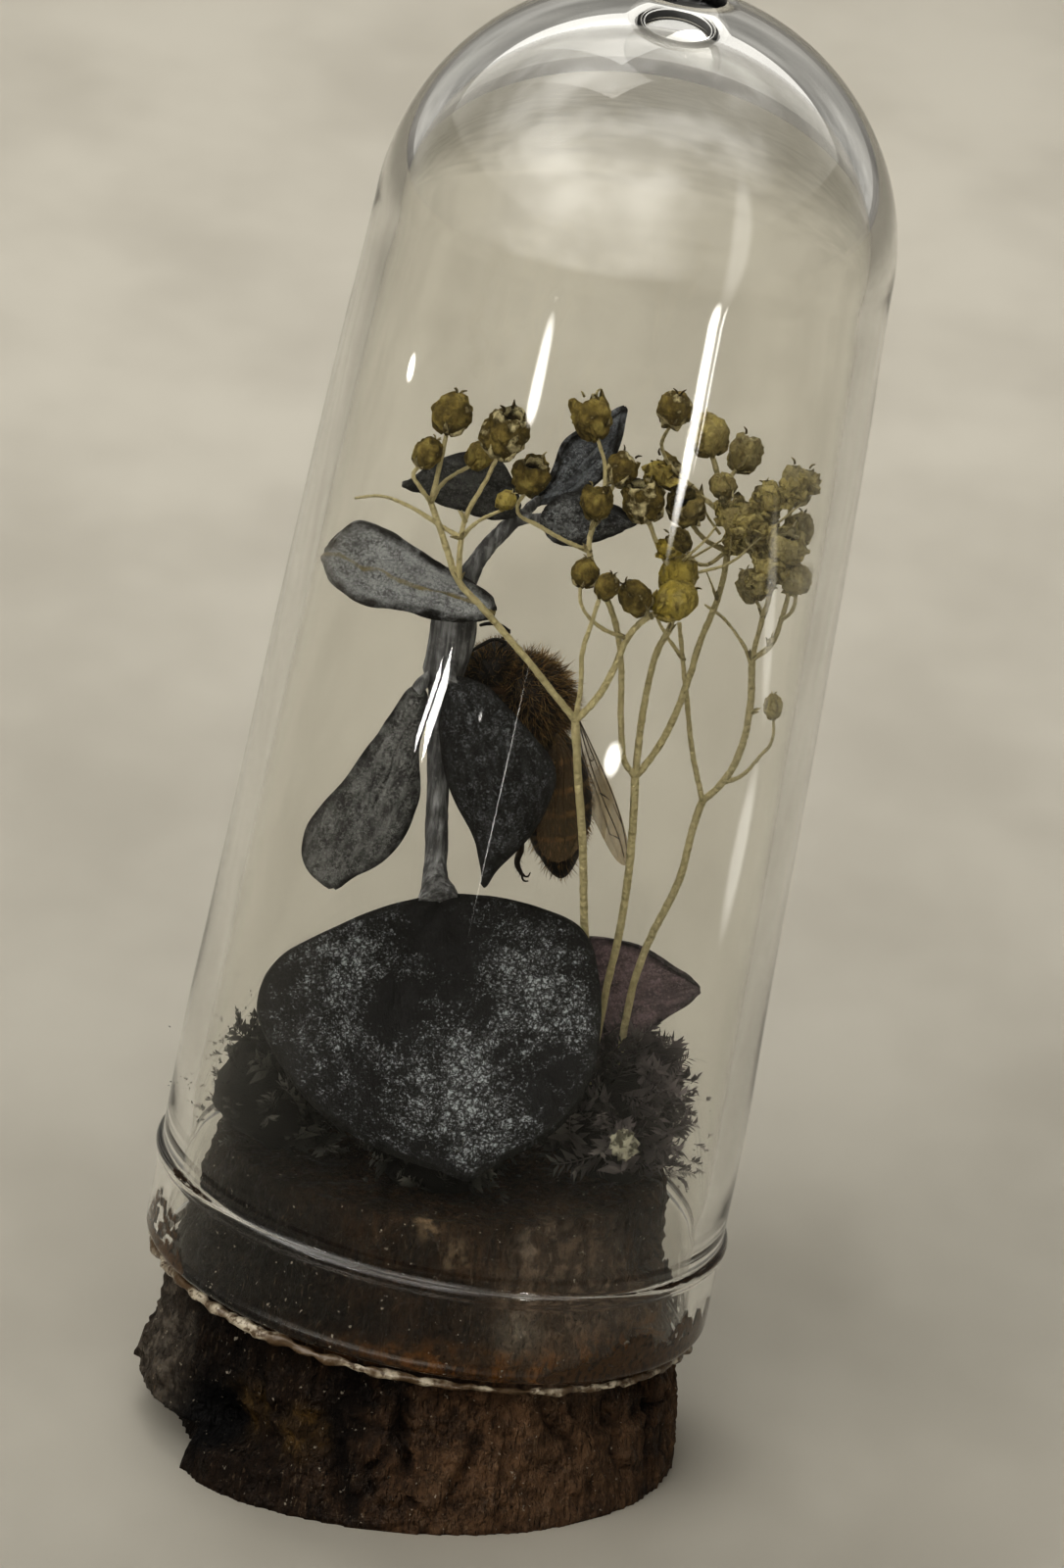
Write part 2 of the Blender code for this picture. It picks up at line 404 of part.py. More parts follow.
SPRAYS = {
    "spray_a_stem": dict(twigs=(
        (MAIN, (8.9, -0.9, STEM_FOOT), (8.0, -2.5, 26.9), (7.3, -3.4, 30.5), (6.7, -4.5, 35.6), (6.0, -5.2, 40.0),
         (5.7, -5.4, 42.1)),)),
    "spray_a_left": dict(twigs=(
        (MAIN, (5.1, -5.6, 43.4), (4.3, -5.8, 44.3), (2.9, -6.0, 45.9), (1.7, -6.0, 47.1), (0.2, -6.0, 48.6),
         (-1.1, -5.8, 49.8), (-2.0, -5.5, 51.7), (-2.9, -5.2, 53.7)),
        (SIDE, (-2.9, -5.2, 53.7), (-2.7, -5.0, 55.3), (-2.3, -4.5, 58.0)),
        (FINE, (-2.9, -5.2, 53.7), (-3.5, -5.4, 54.5), (-3.9, -5.2, 55.1), (-3.5, -5.1, 55.8)),
        (FINE, (-2.9, -5.2, 53.7), (-2.4, -3.9, 54.5), (-1.0, -3.1, 55.5)),
        (SIDE, (-1.1, -5.8, 49.8), (-1.2, -5.6, 52.1), (-1.1, -5.4, 53.1), (-0.3, -5.2, 55.1), (0.3, -5.2, 57.2)),
        (SIDE, (-1.2, -5.6, 52.1), (-2.1, -5.2, 52.4), (-4.1, -4.2, 53.1), (-5.6, -3.4, 53.2), (-6.8, -3.0, 52.8)),
        (FINE, (-1.2, -5.6, 52.1), (-0.5, -5.9, 53.1), (0.7, -6.5, 54.2))),
        capsules=((-2.3, -4.4, 58.4, 2.0), (-3.3, -5.0, 56.2, 1.5), (-0.7, -3.0, 55.8, 1.5), (0.5, -5.3, 57.9, 2.5),
                  (0.9, -6.6, 54.5, 1.1))),
    "spray_a_right": dict(twigs=(
        (MAIN, (5.6, -5.5, 42.8), (6.5, -5.2, 43.9), (7.3, -4.8, 45.6), (7.9, -4.4, 47.4), (8.7, -4.0, 48.5),
         (9.6, -3.6, 49.0)),
        (SIDE, (5.6, -5.5, 42.8), (5.7, -5.5, 44.6), (5.6, -5.6, 46.7), (5.8, -5.6, 47.8), (6.2, -5.7, 49.8)),
        (FINE, (7.8, -4.4, 47.2), (6.3, -4.6, 47.8), (5.3, -4.8, 48.9), (5.1, -4.8, 50.0)),
        (FINE, (8.9, -3.9, 48.6), (8.2, -4.1, 49.1))),
        capsules=((6.5, -5.8, 50.4, 1.35), (5.3, -4.8, 50.7, 1.45), (10.1, -3.5, 49.3, 2.2),
                  (8.0, -4.1, 49.4, 1.8))),
    "spray_b_stem": dict(twigs=(
        (MAIN, (8.3, 0.8, STEM_FOOT), (8.8, -1.0, 26.5), (9.2, -1.0, 30.3), (9.3, -1.0, 34.7), (9.1, -1.0, 37.9)),)),
    "spray_b_left": dict(twigs=(
        (MAIN, (8.5, -1.4, 39.4), (8.1, -1.8, 41.2), (7.6, -2.4, 45.7), (7.0, -2.8, 47.9), (6.1, -3.0, 49.7),
         (5.4, -3.0, 51.3), (5.5, -3.0, 53.6)),
        (FINE, (5.4, -3.0, 51.3), (3.9, -2.6, 51.7), (2.7, -2.4, 52.2), (1.5, -2.6, 52.9), (1.9, -3.2, 54.6)),
        (FINE, (5.4, -3.0, 52.6), (5.9, -2.7, 53.9), (6.4, -1.8, 55.0)),
        (FINE, (5.9, -2.7, 53.9), (5.7, -1.6, 55.8), (5.1, -0.9, 57.2))),
        capsules=((5.5, -3.0, 54.0, 1.8), (2.0, -3.4, 55.2, 2.0), (6.6, -1.5, 55.5, 1.75), (4.8, -0.6, 57.9, 2.2))),
    "spray_b_middle": dict(twigs=(
        (MAIN, (9.1, -1.0, 38.6), (9.1, -0.8, 41.0), (9.2, -0.8, 43.0), (9.5, -1.2, 45.6), (10.0, -1.5, 47.0)),
        (SIDE, (10.0, -1.5, 47.0), (10.2, -1.6, 48.0), (10.2, -1.4, 49.8), (9.4, -1.5, 50.8), (8.9, -1.8, 51.7),
         (8.2, -2.1, 53.6))),
        capsules=((10.2, -1.0, 49.9, 2.1), (7.9, -2.2, 54.2, 2.3))),
    "spray_b_right": dict(twigs=(
        (MAIN, (9.6, -0.6, 39.2), (10.5, 0.0, 40.8), (11.4, 0.6, 43.8), (11.8, 1.0, 45.8), (12.3, 1.3, 47.4),
         (12.6, 1.4, 48.8), (12.7, 1.5, 50.7), (12.5, 1.4, 52.6), (12.1, 1.2, 54.0), (11.2, 0.9, 56.5)),
        (SIDE, (12.7, 1.5, 50.7), (11.4, 0.4, 51.6), (10.4, -0.7, 53.2)),
        (FINE, (12.7, 1.5, 50.7), (11.4, 2.2, 49.6), (10.4, 2.9, 50.3)),
        (SIDE, (12.5, 1.4, 52.6), (10.7, 2.6, 53.4), (9.3, 3.0, 53.8)),
        (FINE, (11.0, 2.6, 53.3), (8.7, 2.2, 55.6), (9.0, 1.2, 57.7)),
        (SIDE, (12.3, 1.3, 53.4), (12.5, 3.0, 54.3), (13.0, 3.8, 55.0)),
        (FINE, (12.3, 1.3, 53.4), (12.1, -0.3, 54.5)),
        (SIDE, (12.7, 1.5, 50.7), (13.4, 3.0, 51.2), (13.9, 4.4, 51.3))),
        capsules=((11.0, 0.8, 57.2, 2.2), (10.2, -1.0, 53.7, 2.1), (10.1, 3.0, 50.6, 1.4), (9.1, 3.1, 54.1, 1.8),
                  (9.1, 1.0, 58.3, 2.0), (13.2, 4.0, 55.4, 1.95), (12.0, -0.6, 54.9, 1.5), (14.0, 4.6, 51.4, 1.8))),
    "spray_c_stem": dict(twigs=(
        (MAIN, (10.0, -0.4, STEM_FOOT), (10.2, 0.5, 26.0), (10.8, 1.0, 28.7), (12.1, 1.0, 32.5), (12.6, 1.4, 35.6),
         (12.8, 1.5, 36.2)),)),
    "spray_c_left": dict(twigs=(
        (SIDE, (12.6, 1.5, 37.7), (12.0, 1.4, 39.7), (11.4, 1.2, 42.6), (11.0, 2.0, 44.4), (10.6, 2.2, 46.3)),
        (FINE, (11.0, 2.0, 44.4), (10.0, 2.6, 45.4), (9.2, 3.0, 46.6), (8.9, 2.8, 47.6)))),
    "spray_c_right": dict(twigs=(
        (MAIN, (12.9, 1.5, 36.8), (13.8, 1.6, 37.8), (14.6, 1.5, 39.6), (14.9, 1.3, 42.3), (14.7, 1.2, 45.0)),
        (SIDE, (14.7, 1.2, 45.0), (15.0, 1.0, 47.5), (15.2, 0.9, 48.8), (14.8, 1.2, 50.0), (14.6, 1.0, 51.2)),
        (SIDE, (14.7, 1.2, 45.0), (15.6, 0.4, 46.2), (15.9, -0.3, 47.8), (16.1, -0.6, 49.3), (16.2, -0.4, 51.2),
         (15.7, -0.2, 53.8), (16.0, 0.1, 54.7)),
        (FINE, (14.7, 1.2, 45.0), (13.9, 1.8, 45.9), (12.9, 3.0, 46.6), (11.9, 3.6, 47.0)),
        (FINE, (13.9, 1.6, 37.9), (14.8, 1.4, 38.4), (15.8, 1.2, 39.7), (16.4, 1.0, 40.7), (16.3, 1.0, 42.2)),
        (SIDE, (15.2, 0.9, 48.8), (14.9, 2.4, 49.8), (15.2, 3.5, 50.8), (14.8, 3.6, 52.5)),
        (FINE, (15.2, 0.9, 48.8), (15.2, -1.6, 50.2), (15.4, -3.2, 52.5)),
        (FINE, (15.0, 1.0, 47.5), (14.8, 2.2, 47.7), (14.4, 2.8, 48.2)),
        (FINE, (15.9, -0.3, 47.8), (16.3, -1.8, 49.0), (16.3, -2.4, 50.4)),
        (FINE, (15.2, -1.6, 50.2), (14.0, -2.0, 51.9), (13.0, -2.2, 53.3)),
        (FINE, (14.9, 2.4, 49.8), (15.6, 3.3, 49.5)),
        (FINE, (16.2, -0.4, 51.2), (16.5, 0.3, 52.3))),
        capsules=((16.2, 1.0, 42.4, 1.2), (14.3, 3.0, 48.5, 1.7), (14.6, 1.0, 51.6, 2.0), (14.7, 3.6, 53.0, 1.9),
                  (12.8, -2.2, 53.7, 1.9), (16.5, 0.5, 52.6, 1.6), (16.0, 0.2, 55.1, 2.0), (15.4, -3.4, 53.0, 1.9),
                  (16.2, -2.5, 50.9, 1.6), (15.9, 3.4, 49.4, 1.5))),
}


def add_spray(name, mat, twigs, capsules=()):
    """One spray as a single body; each capsule grows on from the twig whose end is nearest."""
    parts = [solid(tube(path, (radius, radius * 0.85), 4 if radius == FINE else TWIG_SIDES), mat)
             for radius, *path in twigs]
    for *place, width in capsules:
        ends = [(Vector(path[-1]), Vector(path[-1]) - Vector(path[-2])) for _, *path in twigs]
        _, growing = min(ends, key=lambda pair: (pair[0] - Vector(place)).length)
        parts.append(solid(egg(place, growing, width * 1.12, width), mat))
    join_solids(name, parts, mat)


# ---------------------------------------------------------------- moss

MOSS = {
    "moss_left": dict(centre=(-7.9, -0.6, 19.2), radii=(4.2, 7.4, 3.2), seed=3.0, spikes=1.5),
    "moss_middle": dict(centre=(0.9, -3.2, 17.8), radii=(4.3, 7.6, 2.3), seed=9.0, spikes=0.8),
    "moss_right": dict(centre=(9.9, 0.2, 19.4), radii=(4.7, 7.9, 4.8), seed=5.0, spikes=1.7),
}
FLAKE = dict(centre=(10.3, -8.5, 20.7), along=(0.3, -0.2, -0.9), length=1.9, width=1.5)
MOSS_KEPT = 0.34  # share of each clump's faces left by the decimation


def add_moss(name, mat, centre, radii, seed, spikes, cut_by):
    """A lumpy clump with a flat underside on the cork, bored where stems stand in it."""
    bpy.ops.mesh.primitive_ico_sphere_add(subdivisions=3, radius=1.0)
    clump = bpy.context.object
    for vertex in clump.data.vertices:
        way = vertex.co.normalized()
        lump = 1.0 + 0.16 * noise.noise(way * 2.2 + Vector((seed, 0.0, 0.0)))
        spike = max(0.0, noise.noise(way * 4.6 + Vector((0.0, seed, 0.0)))) * spikes * max(0.0, way.z + 0.15)
        place = Vector(w * (r * lump + spike) for w, r in zip(way, radii)) + Vector(centre)
        place.z = max(place.z, CORK_TOP + GAP)
        vertex.co = place * MM
    shave = clump.modifiers.new("fewer faces", "DECIMATE")
    shave.ratio = MOSS_KEPT
    join_solids(name, [clump], mat, cut_by)


# ---------------------------------------------------------------- the whole object

def leaf_borer(leaf, mat):
    """A blade as wide and thick as a leaf with its clearance."""
    room = dict(leaf, left=[a - GAP for a in leaf["left"]], right=[b + GAP for b in leaf["right"]])
    return solid(blade(thickness=LEAF_THICKNESS + 2 * GAP, rows=8, **room), mat)


def stem_borer(path, radius, mat):
    """A tube round the lower part of a stem, with the clearance that a touching piece keeps."""
    low, high = Vector(path[0]), Vector(path[1])
    return solid(tube((low - (high - low) * 0.2, high), radius + GAP, 6), mat)


def build():
    for old in list(bpy.data.objects):
        bpy.data.objects.remove(old)
    glass = finish("clear_glass", (0.80, 0.79, 0.73), 0.03, transmission=1.0)
    glue = finish("dried_glue", (0.55, 0.50, 0.38), 0.35)
    bark = finish("dark_bark", (0.060, 0.036, 0.020), 0.75)
    moss = finish("dead_moss", (0.032, 0.033, 0.027), 0.95)
    flake = finish("pale_flake", (0.34, 0.32, 0.25), 0.9)
    leaf = finish("dried_leaf", (0.060, 0.064, 0.070), 0.7)
    stem = finish("grey_stem", (0.090, 0.092, 0.095), 0.7)
    spray = finish("olive_spray", (0.28, 0.24, 0.10), 0.8)
    bee = finish("bee_body", (0.055, 0.035, 0.014), 0.7)
    wing = finish("bee_wing", (0.32, 0.24, 0.13), 0.25)

    turned("glass_dome", dome_profile(), GLASS_SIDES, glass)
    add_glue(glue)
    add_cork(bark)
    add_sprig(stem, leaf)
    add_bee(bee, wing)
    for name, parts in SPRAYS.items():
        add_spray(name, spray, **parts)
    spray_stems = [SPRAYS["spray_%s_stem" % letter]["twigs"][0][1:] for letter in "abc"]
    borers = {
        "moss_left": [],
        "moss_middle": [stem_borer(STEM_PATH, STEM_RADII[0], moss)],
        "moss_right": [stem_borer(path, MAIN, moss) for path in spray_stems]
        + [leaf_borer(LEAVES["leaf_back_right"], moss)],
    }
    for name, clump in MOSS.items():
        add_moss(name, moss, cut_by=borers[name], **clump)
    solid(egg(depth=0.5, **FLAKE), flake, "lichen_flake")


build()
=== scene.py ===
import math
import random

import bpy
from mathutils import Matrix, Vector, noise


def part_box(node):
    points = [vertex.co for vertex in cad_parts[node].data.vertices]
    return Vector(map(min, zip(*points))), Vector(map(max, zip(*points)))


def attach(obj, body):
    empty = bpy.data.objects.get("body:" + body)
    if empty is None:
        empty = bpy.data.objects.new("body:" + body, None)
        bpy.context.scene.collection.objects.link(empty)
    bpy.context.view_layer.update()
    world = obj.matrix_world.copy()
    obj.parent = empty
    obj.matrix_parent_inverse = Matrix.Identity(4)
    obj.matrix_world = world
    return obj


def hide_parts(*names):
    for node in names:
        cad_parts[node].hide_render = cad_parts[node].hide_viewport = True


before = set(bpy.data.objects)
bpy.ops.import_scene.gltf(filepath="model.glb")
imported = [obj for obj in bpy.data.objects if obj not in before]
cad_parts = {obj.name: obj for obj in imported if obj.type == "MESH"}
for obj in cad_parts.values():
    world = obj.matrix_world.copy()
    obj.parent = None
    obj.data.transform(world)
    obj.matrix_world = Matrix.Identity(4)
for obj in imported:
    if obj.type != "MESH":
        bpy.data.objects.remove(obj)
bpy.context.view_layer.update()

mm = 0.001
glassLean = math.radians(5.1)  # the dome leans to the right on its cork
noise.seed_set(7)  # noise_vector is different in each run without it


# Helpers for selecting, finishing and placing pieces

def pickOnly(*objs):
    if bpy.context.object and bpy.context.object.mode != "OBJECT":
        bpy.ops.object.mode_set(mode="OBJECT")
    bpy.ops.object.select_all(action="DESELECT")
    for obj in objs:
        obj.select_set(True)
    bpy.context.view_layer.objects.active = objs[0]


def editAll(obj):
    # edit mode, with everything selected
    pickOnly(obj)
    bpy.ops.object.mode_set(mode="EDIT")
    bpy.ops.mesh.select_all(action="SELECT")


def editFaces(obj, test):
    # edit mode, with the faces selected whose middle passes the test
    pickOnly(obj)
    bpy.ops.object.mode_set(mode="EDIT")
    bpy.ops.mesh.select_mode(type="FACE")
    bpy.ops.mesh.select_all(action="DESELECT")
    bpy.ops.object.mode_set(mode="OBJECT")
    for face in obj.data.polygons:
        face.select = test(face.center)
    bpy.ops.object.mode_set(mode="EDIT")


def mergeDoubles(obj, gap=0.001):
    editAll(obj)
    bpy.ops.mesh.remove_doubles(threshold=gap * mm)
    bpy.ops.object.mode_set(mode="OBJECT")


def cleanMesh(obj):
    # doubles merged and faces turned outwards
    mergeDoubles(obj)
    editAll(obj)
    bpy.ops.mesh.normals_make_consistent(inside=False)
    bpy.ops.object.mode_set(mode="OBJECT")


def faceOut(obj):
    # turns round a closed shape whose faces point inwards
    if sum(face.center.dot(face.normal) * face.area for face in obj.data.polygons) < 0:
        editAll(obj)
        bpy.ops.mesh.flip_normals()
        bpy.ops.object.mode_set(mode="OBJECT")


def refine(obj):
    # each face cut into four
    editAll(obj)
    bpy.ops.mesh.subdivide(number_cuts=1)
    bpy.ops.object.mode_set(mode="OBJECT")


def applyPlace(obj):
    pickOnly(obj)
    bpy.ops.object.transform_apply(location=True, rotation=True, scale=True)


def addBall(segments, rings, radius):
    # a new sphere's faces come in a different order each run, so they are sorted from a spot near them
    bpy.ops.mesh.primitive_uv_sphere_add(segments=segments, ring_count=rings, radius=radius)
    ball = bpy.context.object
    cursor = bpy.context.scene.cursor
    cursor.location = Vector((0.3, 0.5, 0.7)) * radius
    editAll(ball)
    bpy.ops.mesh.sort_elements(type="CURSOR_DISTANCE", elements={"FACE"})
    bpy.ops.object.mode_set(mode="OBJECT")
    cursor.location = (0, 0, 0)
    return ball


def applyModifiers(obj):
    pickOnly(obj)
    for modifier in list(obj.modifiers):
        bpy.ops.object.modifier_apply(modifier=modifier.name)


def subdivide(obj, levels):
    modifier = obj.modifiers.new("smoother", "SUBSURF")
    modifier.levels = levels
    modifier.render_levels = levels
    applyModifiers(obj)


def roughen(obj, size, height, depth=2):
    # displaces the surface by a cloudy pattern, both in millimetres
    clouds = bpy.data.textures.new("cloudy", "CLOUDS")
    clouds.noise_scale = size * mm
    clouds.noise_depth = depth
    modifier = obj.modifiers.new("roughen", "DISPLACE")
    modifier.texture = clouds
    modifier.strength = height * mm
    modifier.mid_level = 0.5
    applyModifiers(obj)


def joinPieces(pieces, name):
    pickOnly(*pieces)
    if len(pieces) > 1:
        bpy.ops.object.join()
    pieces[0].name = name
    return pieces[0]


def fromNode(nodeName):
    # a loose copy of a CAD node to start from
    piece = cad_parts[nodeName].copy()
    piece.data = piece.data.copy()
    bpy.context.collection.objects.link(piece)
    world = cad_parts[nodeName].matrix_world.copy()
    piece.parent = None
    piece.matrix_world = world
    cleanMesh(piece)
    return piece


def shiftPoints(obj, shift):
    # shift(place, normal) gives each point's move; the normals are read before anything moves
    points = [(vertex.co / mm, vertex.normal.copy()) for vertex in obj.data.vertices]
    for vertex, (place, normal) in zip(obj.data.vertices, points):
        vertex.co += shift(place, normal) * mm


def setTone(obj, tone, name="tone"):
    # one value for each vertex, which the finishes turn into colour
    values = obj.data.attributes.get(name) or obj.data.attributes.new(name, "FLOAT", "POINT")
    for vertex in obj.data.vertices:
        values.data[vertex.index].value = tone(vertex.co / mm) if callable(tone) else tone


def finishPiece(obj, name, material, nodes=(), angle=None):
    obj.name = name
    obj.data.name = name
    obj.data.materials.clear()
    obj.data.materials.append(material)
    applyPlace(obj)
    if angle is None:
        bpy.ops.object.shade_smooth()
    else:
        bpy.ops.object.shade_smooth_by_angle(angle=math.radians(angle))
    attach(obj, "root")
    if nodes:
        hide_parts(*nodes)
    return obj


def turnTo(direction):
    # a rotation that takes +Z to a direction
    return Vector(direction).to_track_quat("Z", "Y").to_matrix()


def drawBranches(branches, rings=4, steps=5):
    # a smooth closed tube along each list of points, with a radius at each point, as one mesh
    bpy.ops.curve.primitive_bezier_curve_add(location=(0, 0, 0))
    drawn = bpy.context.object
    drawn.data.splines.clear()
    for radii, points in branches:
        spline = drawn.data.splines.new("BEZIER")
        spline.bezier_points.add(len(points) - 1)
        for k, (knot, place) in enumerate(zip(spline.bezier_points, points)):
            knot.co = Vector(place) * mm
            knot.handle_left_type = "AUTO"
            knot.handle_right_type = "AUTO"
            share = k / (len(points) - 1)
            knot.radius = radii[k] if len(radii) == len(points) else radii[0] + (radii[-1] - radii[0]) * share
    drawn.data.dimensions = "3D"
    drawn.data.bevel_depth = mm
    drawn.data.bevel_resolution = rings
    drawn.data.resolution_u = steps
    drawn.data.use_fill_caps = True
    pickOnly(drawn)
    bpy.ops.object.convert(target="MESH")
    tube = bpy.context.object
    cleanMesh(tube)
    return tube


# Node helpers and the effects that several finishes share

def addNode(tree, kind, inputs=None, **settings):
    node = tree.nodes.new(kind)
    for key, value in settings.items():
        setattr(node, key, value)
    for key, value in (inputs or {}).items():
        if isinstance(value, bpy.types.NodeSocket):
            tree.links.new(value, node.inputs[key])
        else:
            node.inputs[key].default_value = value
    return node


def mathOf(tree, operation, first, second=0.0, clamp=False):
    sockets = {0: first, 1: second}
    return addNode(tree, "ShaderNodeMath", sockets, operation=operation, use_clamp=clamp).outputs[0]


def times(tree, first, second, clamp=False):
    return mathOf(tree, "MULTIPLY", first, second, clamp)


def plus(tree, first, second):
    return mathOf(tree, "ADD", first, second)


def vectorMath(tree, operation, first, second):
    node = addNode(tree, "ShaderNodeVectorMath", {0: first, 1: second}, operation=operation)
    return node.outputs["Value" if operation in ("DOT_PRODUCT", "DISTANCE") else "Vector"]


def scaled(tree, vector, scale):
    return addNode(tree, "ShaderNodeVectorMath", {0: vector, "Scale": scale}, operation="SCALE").outputs[0]


def axisOf(tree, vector, axis):
    return addNode(tree, "ShaderNodeSeparateXYZ", {0: vector}).outputs[axis]


def remap(tree, value, start, stop, low=0.0, high=1.0, smooth=False):
    # start to stop of the value becomes low to high
    sockets = {"Value": value, "From Min": start, "From Max": stop, "To Min": low, "To Max": high}
    kind = "SMOOTHSTEP" if smooth else "LINEAR"
    return addNode(tree, "ShaderNodeMapRange", sockets, interpolation_type=kind).outputs["Result"]


def blendOf(tree, share, first, second):
    # second over first by its share; a colour is a socket or three numbers
    pair = [value if isinstance(value, bpy.types.NodeSocket) else (*value, 1.0) for value in (first, second)]
    return addNode(tree, "ShaderNodeMix", {0: share, 6: pair[0], 7: pair[1]}, data_type="RGBA").outputs[2]


def rampOf(tree, value, stops):
    ramp = addNode(tree, "ShaderNodeValToRGB", {"Fac": value})
    while len(ramp.color_ramp.elements) < len(stops):
        ramp.color_ramp.elements.new(0.5)
    for element, (place, colour) in zip(ramp.color_ramp.elements, stops):
        element.position = place
        element.color = (*colour, 1.0)
    return ramp.outputs["Color"]


def newGroup(name, inputs, output):
    group = bpy.data.node_groups.new(name, "ShaderNodeTree")
    for socketName, value in inputs.items():
        kind = "NodeSocketVector" if value is None else "NodeSocketFloat"
        socket = group.interface.new_socket(socketName, in_out="INPUT", socket_type=kind)
        if value is not None:
            socket.default_value = value
    kind = "NodeSocketVector" if output == "Normal" else "NodeSocketFloat"
    group.interface.new_socket(output, in_out="OUTPUT", socket_type=kind)
    return group, group.nodes.new("NodeGroupInput").outputs, group.nodes.new("NodeGroupOutput").inputs[0]


def makeMottling():
    # soft blotches between two levels of a noise
    inputs = {"Vector": None, "Scale": 1.0, "Detail": 3.0, "Low": 0.4, "High": 0.6}
    group, given, result = newGroup("mottling", inputs, "Mask")
    spots = addNode(group, "ShaderNodeTexNoise", {key: given[key] for key in ("Vector", "Scale", "Detail")})
    mask = remap(group, spots.outputs["Fac"], given["Low"], given["High"], smooth=True)
    group.links.new(mask, result)
    return group


def makeRelief():
    # fine bump in millimetres on top of another normal
    inputs = {"Vector": None, "Scale": 8.0, "Detail": 4.0, "Height": 0.1, "Normal": None}
    group, given, result = newGroup("relief", inputs, "Normal")
    grain = addNode(group, "ShaderNodeTexNoise", {key: given[key] for key in ("Vector", "Scale", "Detail")})
    deep = times(group, given["Height"], mm)
    bump = addNode(group, "ShaderNodeBump", {"Height": grain.outputs["Fac"], "Distance": deep,
                                             "Normal": given["Normal"]})
    group.links.new(bump.outputs["Normal"], result)
    return group


mottlingGroup = makeMottling()
reliefGroup = makeRelief()


def mottling(tree, vector, scale, low=0.4, high=0.6, detail=3.0):
    sockets = {"Vector": vector, "Scale": scale, "Detail": detail, "Low": low, "High": high}
    return addNode(tree, "ShaderNodeGroup", sockets, node_tree=mottlingGroup).outputs["Mask"]


def relief(tree, vector, scale, height, detail=4.0, normal=None):
    normal = normal or addNode(tree, "ShaderNodeNewGeometry").outputs["Normal"]
    sockets = {"Vector": vector, "Scale": scale, "Detail": detail, "Height": height, "Normal": normal}
    return addNode(tree, "ShaderNodeGroup", sockets, node_tree=reliefGroup).outputs["Normal"]


def newFinish(name, roughness):
    # a material with its shader, and object coordinates counted in millimetres
    material = bpy.data.materials.new(name)
    material.use_nodes = True
    tree = material.node_tree
    shader = tree.nodes["Principled BSDF"]
    shader.inputs["Roughness"].default_value = roughness
    places = addNode(tree, "ShaderNodeTexCoord").outputs["Object"]
    return material, tree, shader, scaled(tree, places, 1.0 / mm)


def stretched(tree, vector, scales):
    return addNode(tree, "ShaderNodeMapping", {"Vector": vector, "Scale": scales}).outputs[0]


def toneOf(tree, name="tone"):
    return addNode(tree, "ShaderNodeAttribute", attribute_name=name).outputs["Fac"]


def connect(tree, shader, **sockets):
    for name, output in sockets.items():
        tree.links.new(output, shader.inputs[name.replace("_", " ")])


# Glass dome

glass = {"rim": 9.1, "ridge": 14.0, "shoulder": 67.6, "rimRadius": 15.3, "waistRadius": 14.7,
         "crownRadius": 13.7, "wall": 1.4, "crownWall": 2.2, "neckRadius": 2.0, "neckHeight": 0.4,
         "knobRadius": 4.0, "turns": 144, "ior": 1.45, "tint": (0.955, 0.95, 0.925)}


def arcOf(centre, width, height, start, stop, steps):
    angles = [math.radians(start + (stop - start) * k / steps) for k in range(steps + 1)]
    return [(centre[0] + width * math.cos(a), centre[1] + height * math.sin(a)) for a in angles]


def curveAt(a, b, c, d, t):
    # the smooth curve through four values, t of the way from b to c
    bend = 2 * b + (c - a) * t + (2 * a - 5 * b + 4 * c - d) * t * t
    return 0.5 * (bend + (3 * b - a - 3 * c + d) * t ** 3)


def smoothLine(knots, steps):
    # points along a smooth line through the knots
    line = []
    rows = [knots[0]] + list(knots) + [knots[-1]]
    for a, b, c, d in zip(rows, rows[1:], rows[2:], rows[3:]):
        for k in range(steps):
            t = k / steps
            line.append(tuple(curveAt(*values, t) for values in zip(a, b, c, d)))
    return line + [knots[-1]]


def glassOutline():
    rim, ridge, top = glass["rim"], glass["ridge"], glass["shoulder"]
    outer, wall, crown = glass["rimRadius"], glass["wall"], glass["crownRadius"]
    lip = arcOf((outer - 0.55, rim + 0.55), 0.55, 0.55, -90, 0, 8)
    bead = [(outer, ridge - 0.6), *arcOf((outer - 0.03, ridge), 0.3, 0.34, -82, 82, 14), (outer, ridge + 0.6)]
    side = smoothLine([(outer, 16.0), (outer, 21.0), (15.0, 30.0), (glass["waistRadius"], 42.0), (14.2, 57.0),
                       (13.85, 64.0), (crown, top)], 4)
    dome = arcOf((0.0, top), crown, crown, 0, 80, 26)[1:]
    neckBase = top + crown
    middle = neckBase + glass["neckHeight"] + glass["knobRadius"]
    neck = [(glass["neckRadius"] + 0.15, neckBase), (glass["neckRadius"], neckBase + 0.4),
            (glass["neckRadius"] + 0.15, neckBase + 0.8)]
    knob = arcOf((0.0, middle), glass["knobRadius"], glass["knobRadius"], -50, 90, 18)
    inside = arcOf((0.0, top), crown - wall, crown - glass["crownWall"], 90, 0, 28)
    inside += smoothLine([(crown - wall, top - 1), (14.2 - wall, 57.0), (glass["waistRadius"] - wall, 42.0),
                          (outer - wall, 21.0), (outer - wall, 16.0)], 5)
    foot = arcOf((outer - wall + 0.5, rim + 0.5), 0.5, 0.5, 180, 270, 6)
    return lip + bead + side + dome + neck + knob + inside + foot


